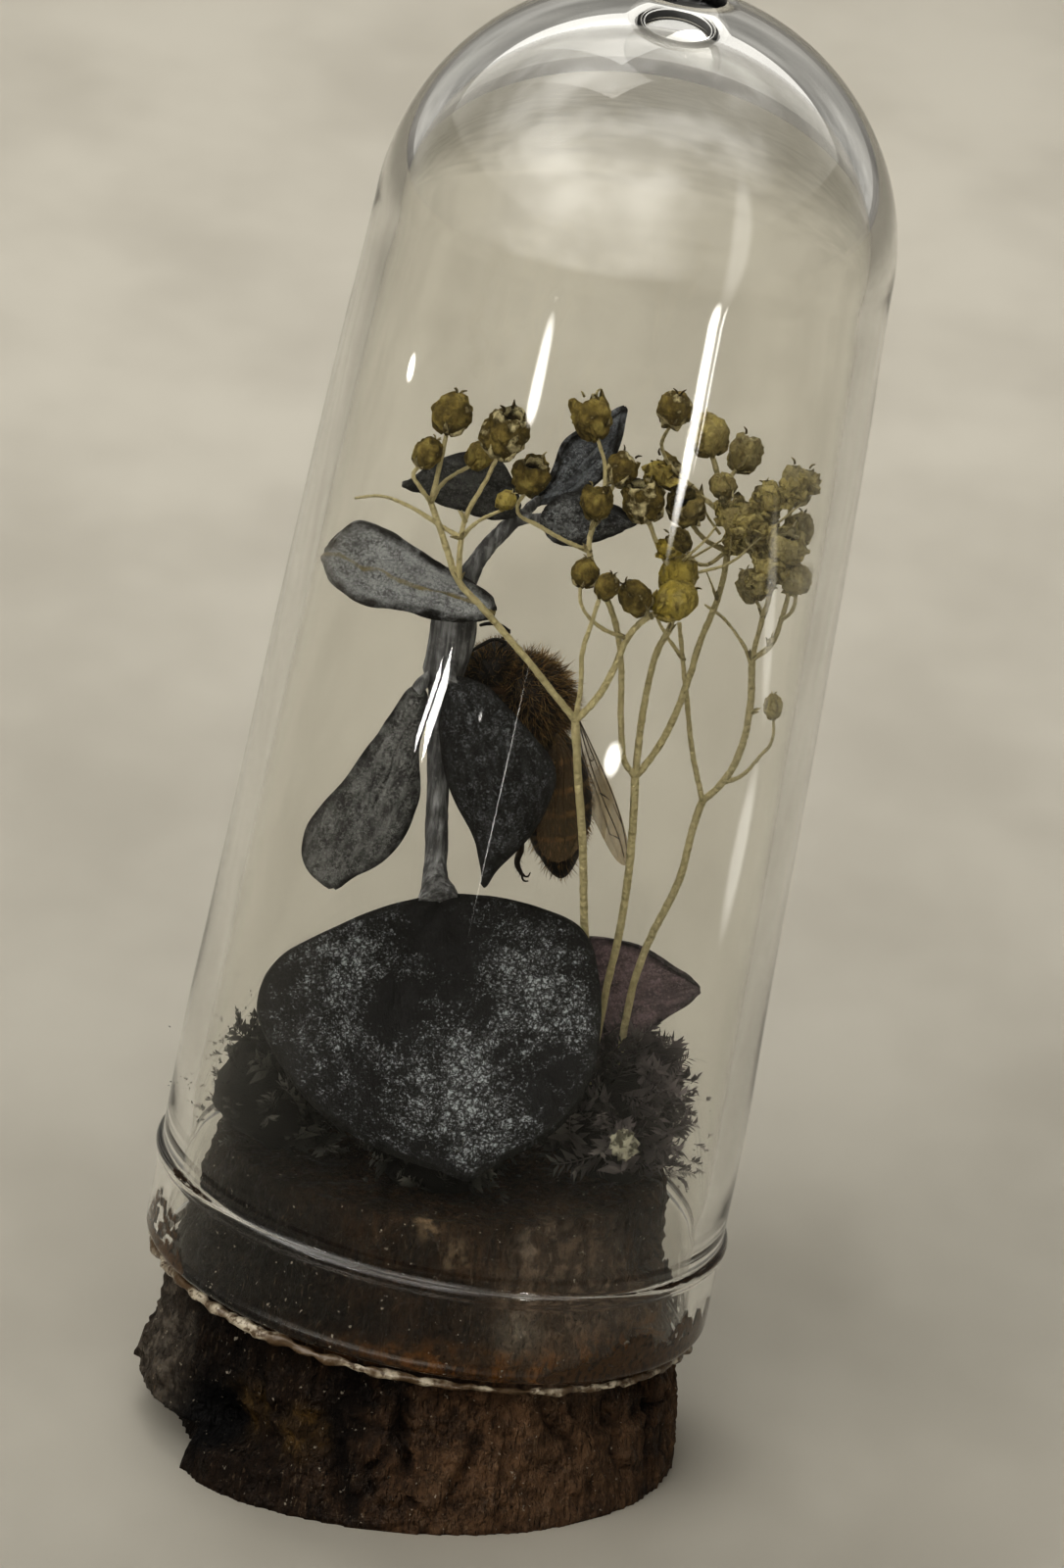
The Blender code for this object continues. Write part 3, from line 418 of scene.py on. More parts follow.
def makeGlass():
    outline = glassOutline()
    bpy.ops.mesh.primitive_plane_add(size=mm, location=(outline[0][0] * mm, 0, outline[0][1] * mm))
    dome = bpy.context.object
    bpy.ops.object.transform_apply(location=True)
    bpy.ops.object.mode_set(mode="EDIT")
    bpy.ops.mesh.merge(type="CENTER")
    for (r0, h0), (r1, h1) in zip(outline, outline[1:] + outline[:1]):
        step = ((r1 - r0) * mm, 0, (h1 - h0) * mm)
        bpy.ops.mesh.extrude_region_move(TRANSFORM_OT_translate={"value": step})
    bpy.ops.mesh.select_all(action="SELECT")
    bpy.ops.mesh.remove_doubles(threshold=0.001 * mm)
    bpy.ops.mesh.select_all(action="SELECT")
    bpy.ops.mesh.spin(steps=glass["turns"], angle=2 * math.pi, center=(0, 0, 0), axis=(0, 0, 1))
    bpy.ops.object.mode_set(mode="OBJECT")
    cleanMesh(dome)
    dome.rotation_euler = (0, glassLean, 0)
    return dome


def glassFinish():
    material, tree, shader, places = newFinish("clearGlass", 0.0)
    shader.inputs["Base Color"].default_value = (*glass["tint"], 1.0)
    shader.inputs["Transmission Weight"].default_value = 1.0
    shader.inputs["IOR"].default_value = glass["ior"]
    return material


finishPiece(makeGlass(), "dome_glass", glassFinish(), ["glass_dome"])
print("glass dome done")


# Dried glue under the rim, and the film it left between glass and cork

glue = {"radius": 14.6, "height": 8.55, "thickness": 0.34, "seed": 5, "lump": 0.34,
        "filmRadius": 14.1, "filmFoot": 9.2, "filmWall": 0.08,
        "pale": (0.56, 0.50, 0.40), "brown": (0.11, 0.07, 0.035), "dirt": (0.1, 0.065, 0.035),
        "filmBrown": (0.10, 0.05, 0.018), "filmDark": (0.035, 0.018, 0.007),
        # each film: how whole it is, then its torn edge as turn in degrees and height in millimetres
        "films": ((0.35, (-64, 0.0), (-56, 0.7), (-48, 0.9), (-43, 1.7), (-37, 2.2), (-33, 1.3), (-30, 1.0),
                   (-26, 1.6), (-22, 2.3), (-15, 1.7), (-9, 1.6), (0, 2.0), (10, 1.3), (22, 1.8), (34, 0.7),
                   (42, 0.0)),
                  (-0.05, (-179, 0.0), (-175, 1.8), (-169, 3.0), (-164, 2.3), (-159, 2.7), (-155, 1.2),
                   (-150, 0.0)))}


def heightAt(edge, turn):
    for (start, low), (stop, high) in zip(edge, edge[1:]):
        if start <= turn <= stop:
            return low + (high - low) * (turn - start) / (stop - start)
    return 0.0


def makeFilm(whole, *edge):
    # a torn film of glue on the inside of the glass, standing on its rim
    first, last = edge[0][0], edge[-1][0]
    bpy.ops.mesh.primitive_grid_add(x_subdivisions=int((last - first) * 3), y_subdivisions=18, size=1.0)
    film = bpy.context.object
    for vertex in film.data.vertices:
        turn = first + (last - first) * (vertex.co.x + 0.5)
        ragged = noise.fractal(Vector((turn * 0.28, 3.0, 0.0)), 0.8, 2.0, 3)
        torn = heightAt(edge, turn) * (1.0 + 0.45 * ragged)
        radius = glue["filmRadius"] - 0.1 * abs(noise.noise(Vector((turn * 0.3, vertex.co.y * 4, 0.0))))
        height = glue["filmFoot"] + max(0.0, torn) * (vertex.co.y + 0.5)
        around = math.radians(turn)
        vertex.co = Vector((radius * math.cos(around), radius * math.sin(around), height)) * mm
    editFaces(film, lambda middle: middle.z > (glue["filmFoot"] + 0.5) * mm
              and noise.noise(middle / mm * 2.3) > whole)
    bpy.ops.mesh.delete(type="FACE")
    bpy.ops.object.mode_set(mode="OBJECT")
    cleanMesh(film)
    wall = film.modifiers.new("wall", "SOLIDIFY")
    wall.thickness = glue["filmWall"] * mm
    applyModifiers(film)
    cleanMesh(film)
    setTone(film, 0.0)
    return film


def makeGlue():
    bpy.ops.mesh.primitive_torus_add(major_radius=glue["radius"] * mm, minor_radius=glue["thickness"] * mm,
                                     major_segments=300, minor_segments=14,
                                     location=(0, 0, glue["height"] * mm))
    bead = bpy.context.object
    bpy.ops.object.transform_apply(location=True)
    for vertex in bead.data.vertices:
        turn = math.atan2(vertex.co.y, vertex.co.x)
        around = Vector((math.cos(turn), math.sin(turn), 0.0))
        core = around * glue["radius"] * mm + Vector((0, 0, glue["height"] * mm))
        away = vertex.co - core
        left = 0.5 - 0.5 * math.cos(turn + math.radians(55))  # thickest at the front left
        lump = noise.fractal(vertex.co / mm * 0.9 + Vector((0, 0, glue["seed"])), 0.9, 2.0, 4)
        vertex.co = core + away * (0.55 + 0.5 * left + glue["lump"] * 2.2 * lump)
    setTone(bead, 1.0)
    bead = joinPieces([bead] + [makeFilm(*film) for film in glue["films"]], "glue ring")
    bead.rotation_euler = (0, glassLean, 0)
    return bead


def glueFinish():
    material, tree, shader, places = newFinish("driedGlue", 0.38)
    bead = toneOf(tree)
    dirt = mottling(tree, places, 3.2, 0.46, 0.66)
    crust = blendOf(tree, mottling(tree, places, 0.55, 0.44, 0.6, 6.0), glue["brown"], glue["pale"])
    crust = blendOf(tree, dirt, crust, glue["dirt"])
    colour = blendOf(tree, bead, blendOf(tree, dirt, glue["filmBrown"], glue["filmDark"]), crust)
    shader.inputs["Subsurface Radius"].default_value = (0.4 * mm, 0.3 * mm, 0.2 * mm)
    shader.inputs["Specular IOR Level"].default_value = 0.3
    connect(tree, shader, Base_Color=colour, Normal=relief(tree, places, 4.0, 0.12),
            Subsurface_Weight=times(tree, bead, 0.15), Coat_Weight=times(tree, bead, 0.4))
    return material


finishPiece(makeGlue(), "glue_ring", glueFinish(), ["glue_bead"])
print("glue done")


# Bark cork

cork = {"voxel": 0.24, "ridge": 0.55, "seed": 11.0,
        "dark": (0.007, 0.0036, 0.0017), "brown": (0.10, 0.057, 0.030), "worn": (0.20, 0.125, 0.072),
        "light": (0.30, 0.225, 0.15), "wet": (0.085, 0.048, 0.026), "grime": (0.014, 0.009, 0.006),
        "shade": (0.0055, 0.003, 0.0015), "amber": (0.30, 0.125, 0.022), "glintSpeck": (0.60, 0.54, 0.45),
        # each pit or lump: place, radius, how far it goes out
        "dents": (((-9.9, -8.9, 2.9), 1.5, -1.1), ((-8.9, -9.3, 3.3), 1.1, -0.8),
                  ((-11.9, -7.0, 3.0), 0.9, -0.5), ((-13.0, -3.2, 5.6), 2.0, 0.3),
                  ((-12.9, -5.0, 3.6), 1.2, 0.3)),
        # each crack runs down the bark: turn in degrees at the top, drift, top, foot, depth
        "cracks": ((-90.0, 6.0, 7.5, 2.0, 0.75), (-87.0, -9.0, 6.5, 1.0, 0.5), (-60.0, 12.0, 7.8, 3.6, 0.45),
                   (-71.0, -7.0, 5.2, 0.6, 0.5), (-38.0, 5.0, 7.0, 0.8, 0.5), (-104.0, 8.0, 6.0, 0.6, 0.45),
                   (-125.0, 7.0, 8.0, 3.6, 0.4), (-20.0, -4.0, 8.0, 1.0, 0.5), (60.0, 6.0, 8.0, 1.0, 0.6),
                   (115.0, -6.0, 7.5, 0.8, 0.6), (170.0, 6.0, 8.0, 2.0, 0.5))}


def barkDepth(place):
    # how far the bark stands out at a place in millimetres
    turn = math.atan2(place.y, place.x)
    wrapped = Vector((math.cos(turn) * 3.4, math.sin(turn) * 3.4, place.z * 0.16 + cork["seed"]))
    ridges = noise.ridged_multi_fractal(wrapped, 0.9, 2.1, 5, 1.0, 2.0) - 1.0
    fine = noise.fractal(place * 1.3, 0.8, 2.0, 4)
    plates = noise.cell(Vector((turn * 2.6 + noise.noise(place * 0.25), place.z * 0.22, 3.0))) - 0.5
    depth = cork["ridge"] * 0.42 * ridges + 0.24 * fine + 0.3 * plates
    for middle, radius, out in cork["dents"]:
        away = (place - Vector(middle)).length / radius
        depth += out * math.exp(-away * away)
    if place.z < 8.6:
        for start, drift, top, foot, deep in cork["cracks"]:
            share = (top - place.z) / (top - foot)
            if -0.1 < share < 1.1:
                wander = 2.2 * noise.noise(Vector((start, 0, place.z * 0.8)))
                off = (math.degrees(turn) - start - drift * share - wander + 180.0) % 360.0 - 180.0
                fade = math.sin(math.pi * min(max(share, 0.02), 0.98)) ** 0.5
                depth -= deep * math.exp(-(off / 1.3) ** 2) * fade
    return depth


def makeCork():
    base = fromNode("cork_base")
    modifier = base.modifiers.new("even mesh", "REMESH")
    modifier.mode = "VOXEL"
    modifier.voxel_size = cork["voxel"] * mm
    applyModifiers(base)

    def swell(place, normal):
        outward = Vector((place.x - 0.06 * place.z, place.y, 0.0)).normalized()
        held = min(1.0, max(0.0, place.z - 0.2) / 1.2)  # the foot stays flat
        crust = Vector((0, 0, 0.22 * noise.fractal(place * 0.9, 0.8, 2.0, 4))) if normal.z > 0.7 else Vector()
        return (outward * barkDepth(place) * max(0.0, normal.dot(outward)) + crust) * held

    depths = [barkDepth(vertex.co / mm) for vertex in base.data.vertices]
    shiftPoints(base, swell)
    # the tone is how far the bark stands out, which the finish turns into painted shade in the cracks and
    # pits
    setTone(base, 0.5)
    for item, depth in zip(base.data.attributes["tone"].data, depths):
        item.value = 0.5 + 0.62 * depth
    return base


def nearPlace(tree, places, middle, radius):
    # 1 at a place, fading out at its radius in millimetres
    away = vectorMath(tree, "DISTANCE", places, middle)
    return remap(tree, away, radius, radius * 0.35, smooth=True)


# patches of colour on the cork, some of them painted shade: place, radius, colour, share and how much the
# fibres break it up
corkPatchesAndShade = (
    # painted shade: dark at the foot on the left, near-black in the pits
    ((-5.5, -12.8, 2.6), 5.0, (0.01, 0.0055, 0.003), 0.7, 0.3),
    ((-9.7, -8.9, 3.0), 2.4, (0.0015, 0.001, 0.001), 1.0, 0.0),
    ((-7.6, -10.7, 4.5), 1.7, (0.13, 0.08, 0.022), 0.5, 0.7),
    ((-4.7, -13.5, 4.4), 1.6, (0.15, 0.09, 0.025), 0.55, 0.7),
    ((-13.6, -3.0, 4.9), 5.0, (0.19, 0.165, 0.135), 0.85, 0.6),
    ((4.5, -13.4, 3.6), 5.0, (0.19, 0.115, 0.066), 0.6, 0.8),
    ((10.0, -11.0, 3.0), 5.4, (0.2, 0.125, 0.074), 0.65, 0.6),
    ((8.8, -10.0, 12.0), 5.0, (0.36, 0.27, 0.2), 0.8, 0.6),
    # painted shade: dark on the left of the plug under the glass
    ((-6.5, -10.8, 11.4), 4.2, (0.008, 0.006, 0.004), 0.75, 0.2),
    ((-9.5, -7.5, 12.5), 4.5, (0.006, 0.005, 0.004), 0.7, 0.3),
    ((6.0, -11.9, 10.9), 1.5, (0.33, 0.29, 0.24), 0.7, 0.5),
    ((0.9, -12.0, 16.4), 1.1, (0.5, 0.37, 0.24), 0.7, 0.9),
    ((2.2, -12.2, 15.0), 1.1, (0.4, 0.3, 0.2), 0.55, 1.0),
    ((6.8, -10.6, 15.4), 1.6, (0.44, 0.36, 0.29), 0.6, 0.9),
    ((12.3, -5.6, 9.0), 2.4, (0.27, 0.15, 0.06), 0.7, 0.6),
)


def corkFinish():
    material, tree, shader, places = newFinish("darkBark", 0.6)
    depth = toneOf(tree)
    strands = stretched(tree, places, (3.6, 3.6, 0.5))
    fibres = mottling(tree, strands, 0.8, 0.35, 0.7, 8.0)
    slivers = mottling(tree, strands, 1.5, 0.60, 0.68, 5.0)
    # pale specks painted into the colour as glints of the plug's shiny crumbs, more of them under the glass
    glintSpecks = mottling(tree, places, 3.2, 0.68, 0.73, 3.0)
    grime = mottling(tree, places, 0.35, 0.40, 0.66, 7.0)
    shreds = mottling(tree, places, 1.1, 0.44, 0.62, 8.0)
    across, up = axisOf(tree, places, "X"), axisOf(tree, places, "Z")
    inside = remap(tree, up, 8.3, 9.0)  # the plug under the glass
    # darker the deeper the bark lies, near-black in the cracks and pits: painted shade there; lighter on the
    # raised bark
    colour = rampOf(tree, depth, [(0.12, cork["dark"]), (0.42, cork["brown"]), (0.72, cork["worn"])])
    coats = [(times(tree, inside, 0.75), "wet"), (times(tree, fibres, 0.65), "dark"),
             (times(tree, grime, 0.6), "grime"), (remap(tree, across, 0.0, -10.0, 0.0, 0.8), "shade")]
    for share, tint in coats:
        colour = blendOf(tree, share, colour, cork[tint])
    for middle, radius, tint, share, broken in corkPatchesAndShade:
        spot = times(tree, nearPlace(tree, places, middle, radius * 1.3), share)
        rough = plus(tree, times(tree, shreds, broken), 1.0 - broken)
        colour = blendOf(tree, times(tree, spot, rough), colour, tint)
    # a line of old amber glue low on the plug, just above the rim of the glass
    amber = times(tree, remap(tree, across, -5.0, 2.0, 0.15, 1.0), remap(tree, up, 10.6, 8.9))
    amber = times(tree, amber, plus(tree, times(tree, shreds, 0.75), 0.2))
    # then the amber glue, pale slivers on the raised bark, and the pale specks that are painted glints
    coats = [(times(tree, amber, inside), "amber"), (times(tree, times(tree, slivers, 0.6), depth), "light"),
             (times(tree, glintSpecks, plus(tree, times(tree, inside, 0.5), 0.5)), "glintSpeck")]
    for share, tint in coats:
        colour = blendOf(tree, share, colour, cork[tint])
    rough = remap(tree, mottling(tree, places, 0.7, 0.45, 0.6), 0.0, 1.0, 0.9, 0.42)
    shader.inputs["Specular IOR Level"].default_value = 0.18
    bumps = relief(tree, places, 2.4, 0.35, 8.0, relief(tree, strands, 0.9, 0.8, 8.0))
    connect(tree, shader, Base_Color=colour, Roughness=rough, Normal=bumps)
    return material


finishPiece(makeCork(), "bark_cork", corkFinish(), ["cork_base"])
print("cork done")


# Eucalyptus: stem, twig and leaf stalks

stem = {"path": ((0.4, -1.2, 16.9), (-0.3, -2.6, 26.0), (-0.7, -3.0, 31.1), (-0.9, -2.5, 34.1),
                 (-1.2, -2.0, 37.8), (-1.6, -1.6, 42.3), (-1.5, -1.5, 43.4), (-1.3, -1.5, 44.9),
                 (-1.2, -1.5, 46.6), (-1.1, -1.5, 47.5)),
        "radii": (0.75, 0.65, 0.72, 0.58, 0.57, 0.62, 1.1, 1.22, 1.2, 1.15),
        "twig": ((-1.1, -1.5, 47.3), (-0.9, -1.5, 48.2), (-0.4, -1.4, 49.5), (0.7, -1.1, 51.2),
                 (1.6, -1.0, 52.2)),
        "twigRadii": (0.9, 0.62, 0.46, 0.42, 0.4),
        "dark": (0.12, 0.12, 0.126), "light": (0.40, 0.405, 0.415), "blot": (0.07, 0.068, 0.067),
        "fleck": (0.34, 0.345, 0.34)}

# stalk of each leaf: radii, then its points from the stem to the blade
leafStalks = [
    ((0.6, 0.66, 0.95, 1.15),
     ((-0.85, -2.7, 33.2), (-0.75, -3.2, 32.5), (-0.55, -3.9, 31.95), (-0.45, -4.25, 31.6))),
    ((0.5, 0.3, 0.32), ((-1.5, -1.7, 43.6), (-2.1, -2.1, 43.4), (-2.8, -2.5, 42.5))),
    ((0.5, 0.35, 0.4), ((-1.3, -2.0, 44.4), (-1.2, -2.7, 44.3), (-1.1, -3.4, 43.4))),
    ((0.45, 0.3, 0.3), ((-0.9, -1.6, 48.3), (-0.1, -2.6, 48.0), (0.5, -3.4, 47.8))),
    ((0.35, 0.25, 0.2), ((1.5, -1.0, 52.0), (1.4, -1.4, 52.6), (0.9, -1.7, 53.0))),
    ((0.35, 0.25, 0.2), ((1.6, -1.0, 52.0), (2.0, -0.3, 52.4), (2.7, 0.4, 53.1))),
    ((0.35, 0.25, 0.2), ((1.5, -1.1, 52.0), (2.2, -1.5, 52.3), (3.2, -1.8, 52.5))),
]


def barkOn(tube, size, height):
    refine(tube)

    def push(place, normal):
        drawn = Vector((place.x * size, place.y * size, place.z * size * 0.3))
        return normal * noise.fractal(drawn, 0.8, 2.0, 4) * height

    shiftPoints(tube, push)
    return tube


def stemFinish():
    material, tree, shader, places = newFinish("greyStem", 0.72)
    lines = mottling(tree, stretched(tree, places, (2.6, 2.6, 0.22)), 1.3, 0.40, 0.68, 7.0)
    blots = times(tree, mottling(tree, places, 0.8, 0.42, 0.62, 5.0), 0.5)
    flecks = times(tree, mottling(tree, places, 4.5, 0.6, 0.7, 3.0), 0.5)
    colour = blendOf(tree, blots, blendOf(tree, lines, stem["dark"], stem["light"]), stem["blot"])
    colour = blendOf(tree, flecks, colour, stem["fleck"])
    grain = relief(tree, stretched(tree, places, (1, 1, 0.2)), 5.0, 0.2, 6.0)
    connect(tree, shader, Base_Color=colour, Normal=grain)
    return material


greyStem = stemFinish()
lower = drawBranches([(stem["radii"], stem["path"])] + leafStalks[:3], 6, 8)
finishPiece(barkOn(lower, 1.6, 0.09), "sprig_stem", greyStem, ["eucalyptus_stem"])
upper = drawBranches([(stem["twigRadii"], stem["twig"])] + leafStalks[3:], 4, 8)
finishPiece(barkOn(upper, 2.0, 0.06), "sprig_twig", greyStem, ["eucalyptus_twig"])
print("stem done")


# Eucalyptus leaves: each is a grid laid along the chord from its base to its tip. The signed
# offsets of its two edges stand at stations packed towards both ends. sag and cup bend it.

leaves = {
    "leaf_front": {
        "base": (-0.4, -4.3, 31.9), "tip": (2.7, -10.8, 18.8), "face": (0.0, -0.9, 0.44),
        "sag": -2.2, "cup": 0.9,
        "left": (-3.9, -8.2, -9.8, -9.2, -7.5, -4.6, -1.5), "right": (3.6, 7.0, 7.8, 7.6, 6.7, 4.6, 1.0)},
    "leaf_back_right": {
        "base": (2.1, 1.6, 21.1), "tip": (14.0, 2.6, 25.8), "face": (0.0, -0.95, 0.31),
        "sag": 0.3, "cup": 0.4,
        "left": (-0.7, -2.0, -2.5, -1.2, -0.5), "right": (0.4, 2.1, 4.5, 3.7, 1.4)},
    "leaf_drooping_left": {
        "base": (-2.7, -2.4, 42.7), "tip": (-6.0, -3.2, 31.4), "face": (0.0, -1.0, 0.1),
        "sag": 0.6, "cup": -0.4,
        "left": (-0.5, -0.9, -1.6, -2.4, -1.9), "right": (0.8, 1.2, 2.3, 2.0, 0.6)},
    "leaf_drooping_right": {
        "base": (-1.2, -3.3, 43.6), "tip": (1.7, -4.6, 32.9), "face": (0.0, -1.0, 0.1),
        "sag": 0.7, "cup": -0.7,
        "left": (-0.3, -0.8, -0.8, 0.0, 0.2), "right": (1.8, 3.3, 4.7, 3.3, 0.8)},
    "leaf_oval_left": {
        "base": (0.8, -3.5, 47.6), "tip": (-7.8, -3.7, 49.8), "face": (0.1, -0.95, 0.29),
        "sag": -0.3, "cup": 0.4,
        "left": (-0.8, -1.2, -1.7, -2.2, -2.0), "right": (0.7, 1.2, 1.5, 1.8, 1.2)},
    "leaf_top_left": {
        "base": (1.5, -1.6, 52.8), "tip": (-4.5, -2.2, 53.6), "face": (0.14, -0.94, 0.3),
        "sag": 0.3, "cup": -0.4,
        "left": (-1.0, -2.2, -2.3, -1.5, -0.3), "right": (0.6, 0.8, 0.7, 0.4, 0.1)},
    "leaf_top_up": {
        "base": (2.2, 0.3, 52.6), "tip": (6.5, 2.6, 57.6), "face": (-0.1, -0.97, 0.2),
        "sag": 0.5, "cup": 0.5,
        "left": (-0.5, -1.4, -1.7, -1.1, -0.3), "right": (0.1, 0.3, 1.0, 0.5, 0.2)},
    "leaf_top_right": {
        "base": (2.8, -1.8, 52.4), "tip": (7.6, -1.8, 52.8), "face": (0.1, -0.94, 0.32),
        "sag": 0.3, "cup": -0.4,
        "left": (-0.8, -1.3, -1.1, -0.7, -0.2), "right": (0.7, 1.4, 1.5, 0.9, 0.2)},
}
leafThickness = 0.32


def smoothRow(values, u):
    # value at u from 0 to 1 along evenly spaced values, which are 0 at both ends
    row = (0.0, *values, 0.0)
    place = min(u * (len(row) - 1), len(row) - 1.0001)
    k = int(place)
    t = place - k
    a = row[k - 1] if k > 0 else -row[1]
    b, c = row[k], row[k + 1]
    d = row[k + 2] if k + 2 < len(row) else -row[-2]
    return curveAt(a, b, c, d, t)


def onBlade(leaf, u, s, lift):
    # the point u of the way along and s across, from -1 to 1, and in millimetres its place on the flat
    # blade and its distance from the edge
    base, tip = Vector(leaf["base"]), Vector(leaf["tip"])
    chord = tip - base
    ahead = chord.normalized()
    out = Vector(leaf["face"])
    out = (out - ahead * out.dot(ahead)).normalized()
    t = (1 - math.cos(math.pi * u)) / 2
    a, b = smoothRow(leaf["left"], u), smoothRow(leaf["right"], u)
    aside = a + (b - a) * (s + 1) / 2
    rise = leaf["sag"] * 4 * t * (1 - t) + leaf["cup"] * s * s * math.sin(math.pi * u) + lift
    inward = min((1 - abs(s)) * abs(b - a) / 2, chord.length * min(t, 1 - t) + 0.15)
    return base + chord * t + out.cross(ahead) * aside + out * rise, (aside, chord.length * t, inward)


def layBlade(leaf, across, along, thickness, lift):
    # a grid shaped into a leaf or wing, given its own thickness; lift(u, s) adds relief in millimetres
    bpy.ops.mesh.primitive_grid_add(x_subdivisions=across, y_subdivisions=along, size=1.0)
    blade = bpy.context.object
    laid = blade.data.attributes.new("blade", "FLOAT_VECTOR", "POINT").data
    for vertex in blade.data.vertices:
        u, s = vertex.co.y + 0.5, vertex.co.x * 2.0
        place, laid[vertex.index].vector = onBlade(leaf, u, s, lift(u, s))
        vertex.co = place * mm
    mergeDoubles(blade, 0.002)
    thick = blade.modifiers.new("thickness", "SOLIDIFY")
    thick.thickness = thickness * mm
    thick.offset = 0.0
    applyModifiers(blade)
    cleanMesh(blade)
    faceOut(blade)
    return blade


def leafLift(name):
    # the veins, folds and wrinkles of one leaf
    start = Vector((len(name), ord(name[-1]) * 0.37, 0.0))

    def lift(u, s):
        wide = math.sin(math.pi * u)
        rib = -0.14 * math.exp(-(s / 0.07) ** 2) * (1 - u)
        wave = 0.3 * noise.noise(Vector((u * 3.1, s * 1.6, 0.0)) + start) * wide
        wrinkle = 0.09 * noise.fractal(Vector((u * 9, s * 7, 0.0)) + start, 0.8, 2.0, 4) * wide
        ripple = noise.noise(Vector((u * 14, s * 2, 4.0)) + start)
        edge = 0.16 * max(0.0, abs(s) - 0.82) / 0.18 * ripple * wide
        folds = 0.0
        if name == "leaf_front":
            for aim in (-0.34, 0.3):  # two creases spread from the stalk
                crease = math.exp(-((s - aim * u * 1.3) / (0.05 + 0.12 * u)) ** 2)
                folds -= 0.55 * crease * (1 - u) ** 0.7 * wide
        return rib + wave + wrinkle + edge + folds
    return lift


def makeBloom():
    # a powdery skin of small pale cells, parted by dark cracks; it thins out as cover falls
    sockets = {"Vector": None, "Scale": 3.5, "Cover": 0.5, "Line": 0.12}
    group, given, result = newGroup("bloom", sockets, "Mask")

    def noiseOf(scale, detail, roughness=0.5):
        sockets = {"Vector": given["Vector"], "Scale": scale, "Detail": detail, "Roughness": roughness}
        return addNode(group, "ShaderNodeTexNoise", sockets).outputs

    def edgesOf(scale):
        sockets = {"Vector": moved, "Scale": scale}
        return addNode(group, "ShaderNodeTexVoronoi", sockets, feature="DISTANCE_TO_EDGE").outputs["Distance"]

    shake = vectorMath(group, "SUBTRACT", noiseOf(3.0, 4.0)["Color"], (0.5, 0.5, 0.5))
    moved = vectorMath(group, "ADD", given["Vector"], scaled(group, shake, 0.6))
    large = times(group, edgesOf(times(group, given["Scale"], 0.5)), 1.15)
    cracks = mathOf(group, "MINIMUM", edgesOf(given["Scale"]), large)
    inside = remap(group, cracks, 0.015, given["Line"], 0.05, 1.0)
    grain, clusters = noiseOf(6.5, 5.0, 0.7)["Fac"], noiseOf(1.1, 5.0, 0.62)["Fac"]
    powder = plus(group, times(group, grain, 0.62), times(group, clusters, 0.38))
    powder = plus(group, powder, times(group, given["Cover"], 0.26))
    group.links.new(times(group, remap(group, powder, 0.585, 0.72), inside, clamp=True), result)
    return group


bloomGroup = makeBloom()


def leafFinish(name, look):
    # dark dry skin, streaks along the blade, a powdery bloom over it and a dark rim
    material, tree, shader, places = newFinish(name, 0.66)
    laid = addNode(tree, "ShaderNodeAttribute", attribute_name="blade").outputs["Vector"]
    flow = vectorMath(tree, "MULTIPLY", laid, (2.4, 0.55, 0.0))
    blots = mottling(tree, places, 0.5, 0.35, 0.68, 5.0)
    lines = times(tree, mottling(tree, flow, 1.1, 0.42, 0.68, 9.0), look["streak"])
    skin = blendOf(tree, blots, look["dark"], [2.4 * part for part in look["dark"]])
    skin = blendOf(tree, lines, skin, look["pale"])
    sockets = {"Vector": places, "Scale": look["cell"], "Cover": toneOf(tree), "Line": look["line"]}
    bloom = addNode(tree, "ShaderNodeGroup", sockets, node_tree=bloomGroup).outputs["Mask"]
    colour = blendOf(tree, bloom, skin, look["pale"])
    worn = mottling(tree, places, 1.4, 0.3, 0.7, 4.0)
    rim = remap(tree, axisOf(tree, laid, "Z"), look["rim"], 0.03)
    rim = times(tree, rim, plus(tree, worn, 0.35), clamp=True)
    colour = blendOf(tree, rim, colour, look["rimTone"])
    if "rib" in look:
        sockets = {"Vector": laid, "Scale": 0.6, "Detail": 3.0}
        wander = addNode(tree, "ShaderNodeTexNoise", sockets).outputs["Fac"]
        off = plus(tree, plus(tree, axisOf(tree, laid, "X"), -0.4), times(tree, wander, 0.8))
        rib = remap(tree, mathOf(tree, "ABSOLUTE", off), 0.13, 0.04)
        rib = times(tree, rib, plus(tree, times(tree, worn, 0.5), 0.4))
        colour = blendOf(tree, rib, colour, look["rib"])
    fine = relief(tree, flow, 3.0, 0.10, 5.0)
    connect(tree, shader, Base_Color=colour, Normal=relief(tree, places, 3.0, 0.16, 6.0, fine))
    return material


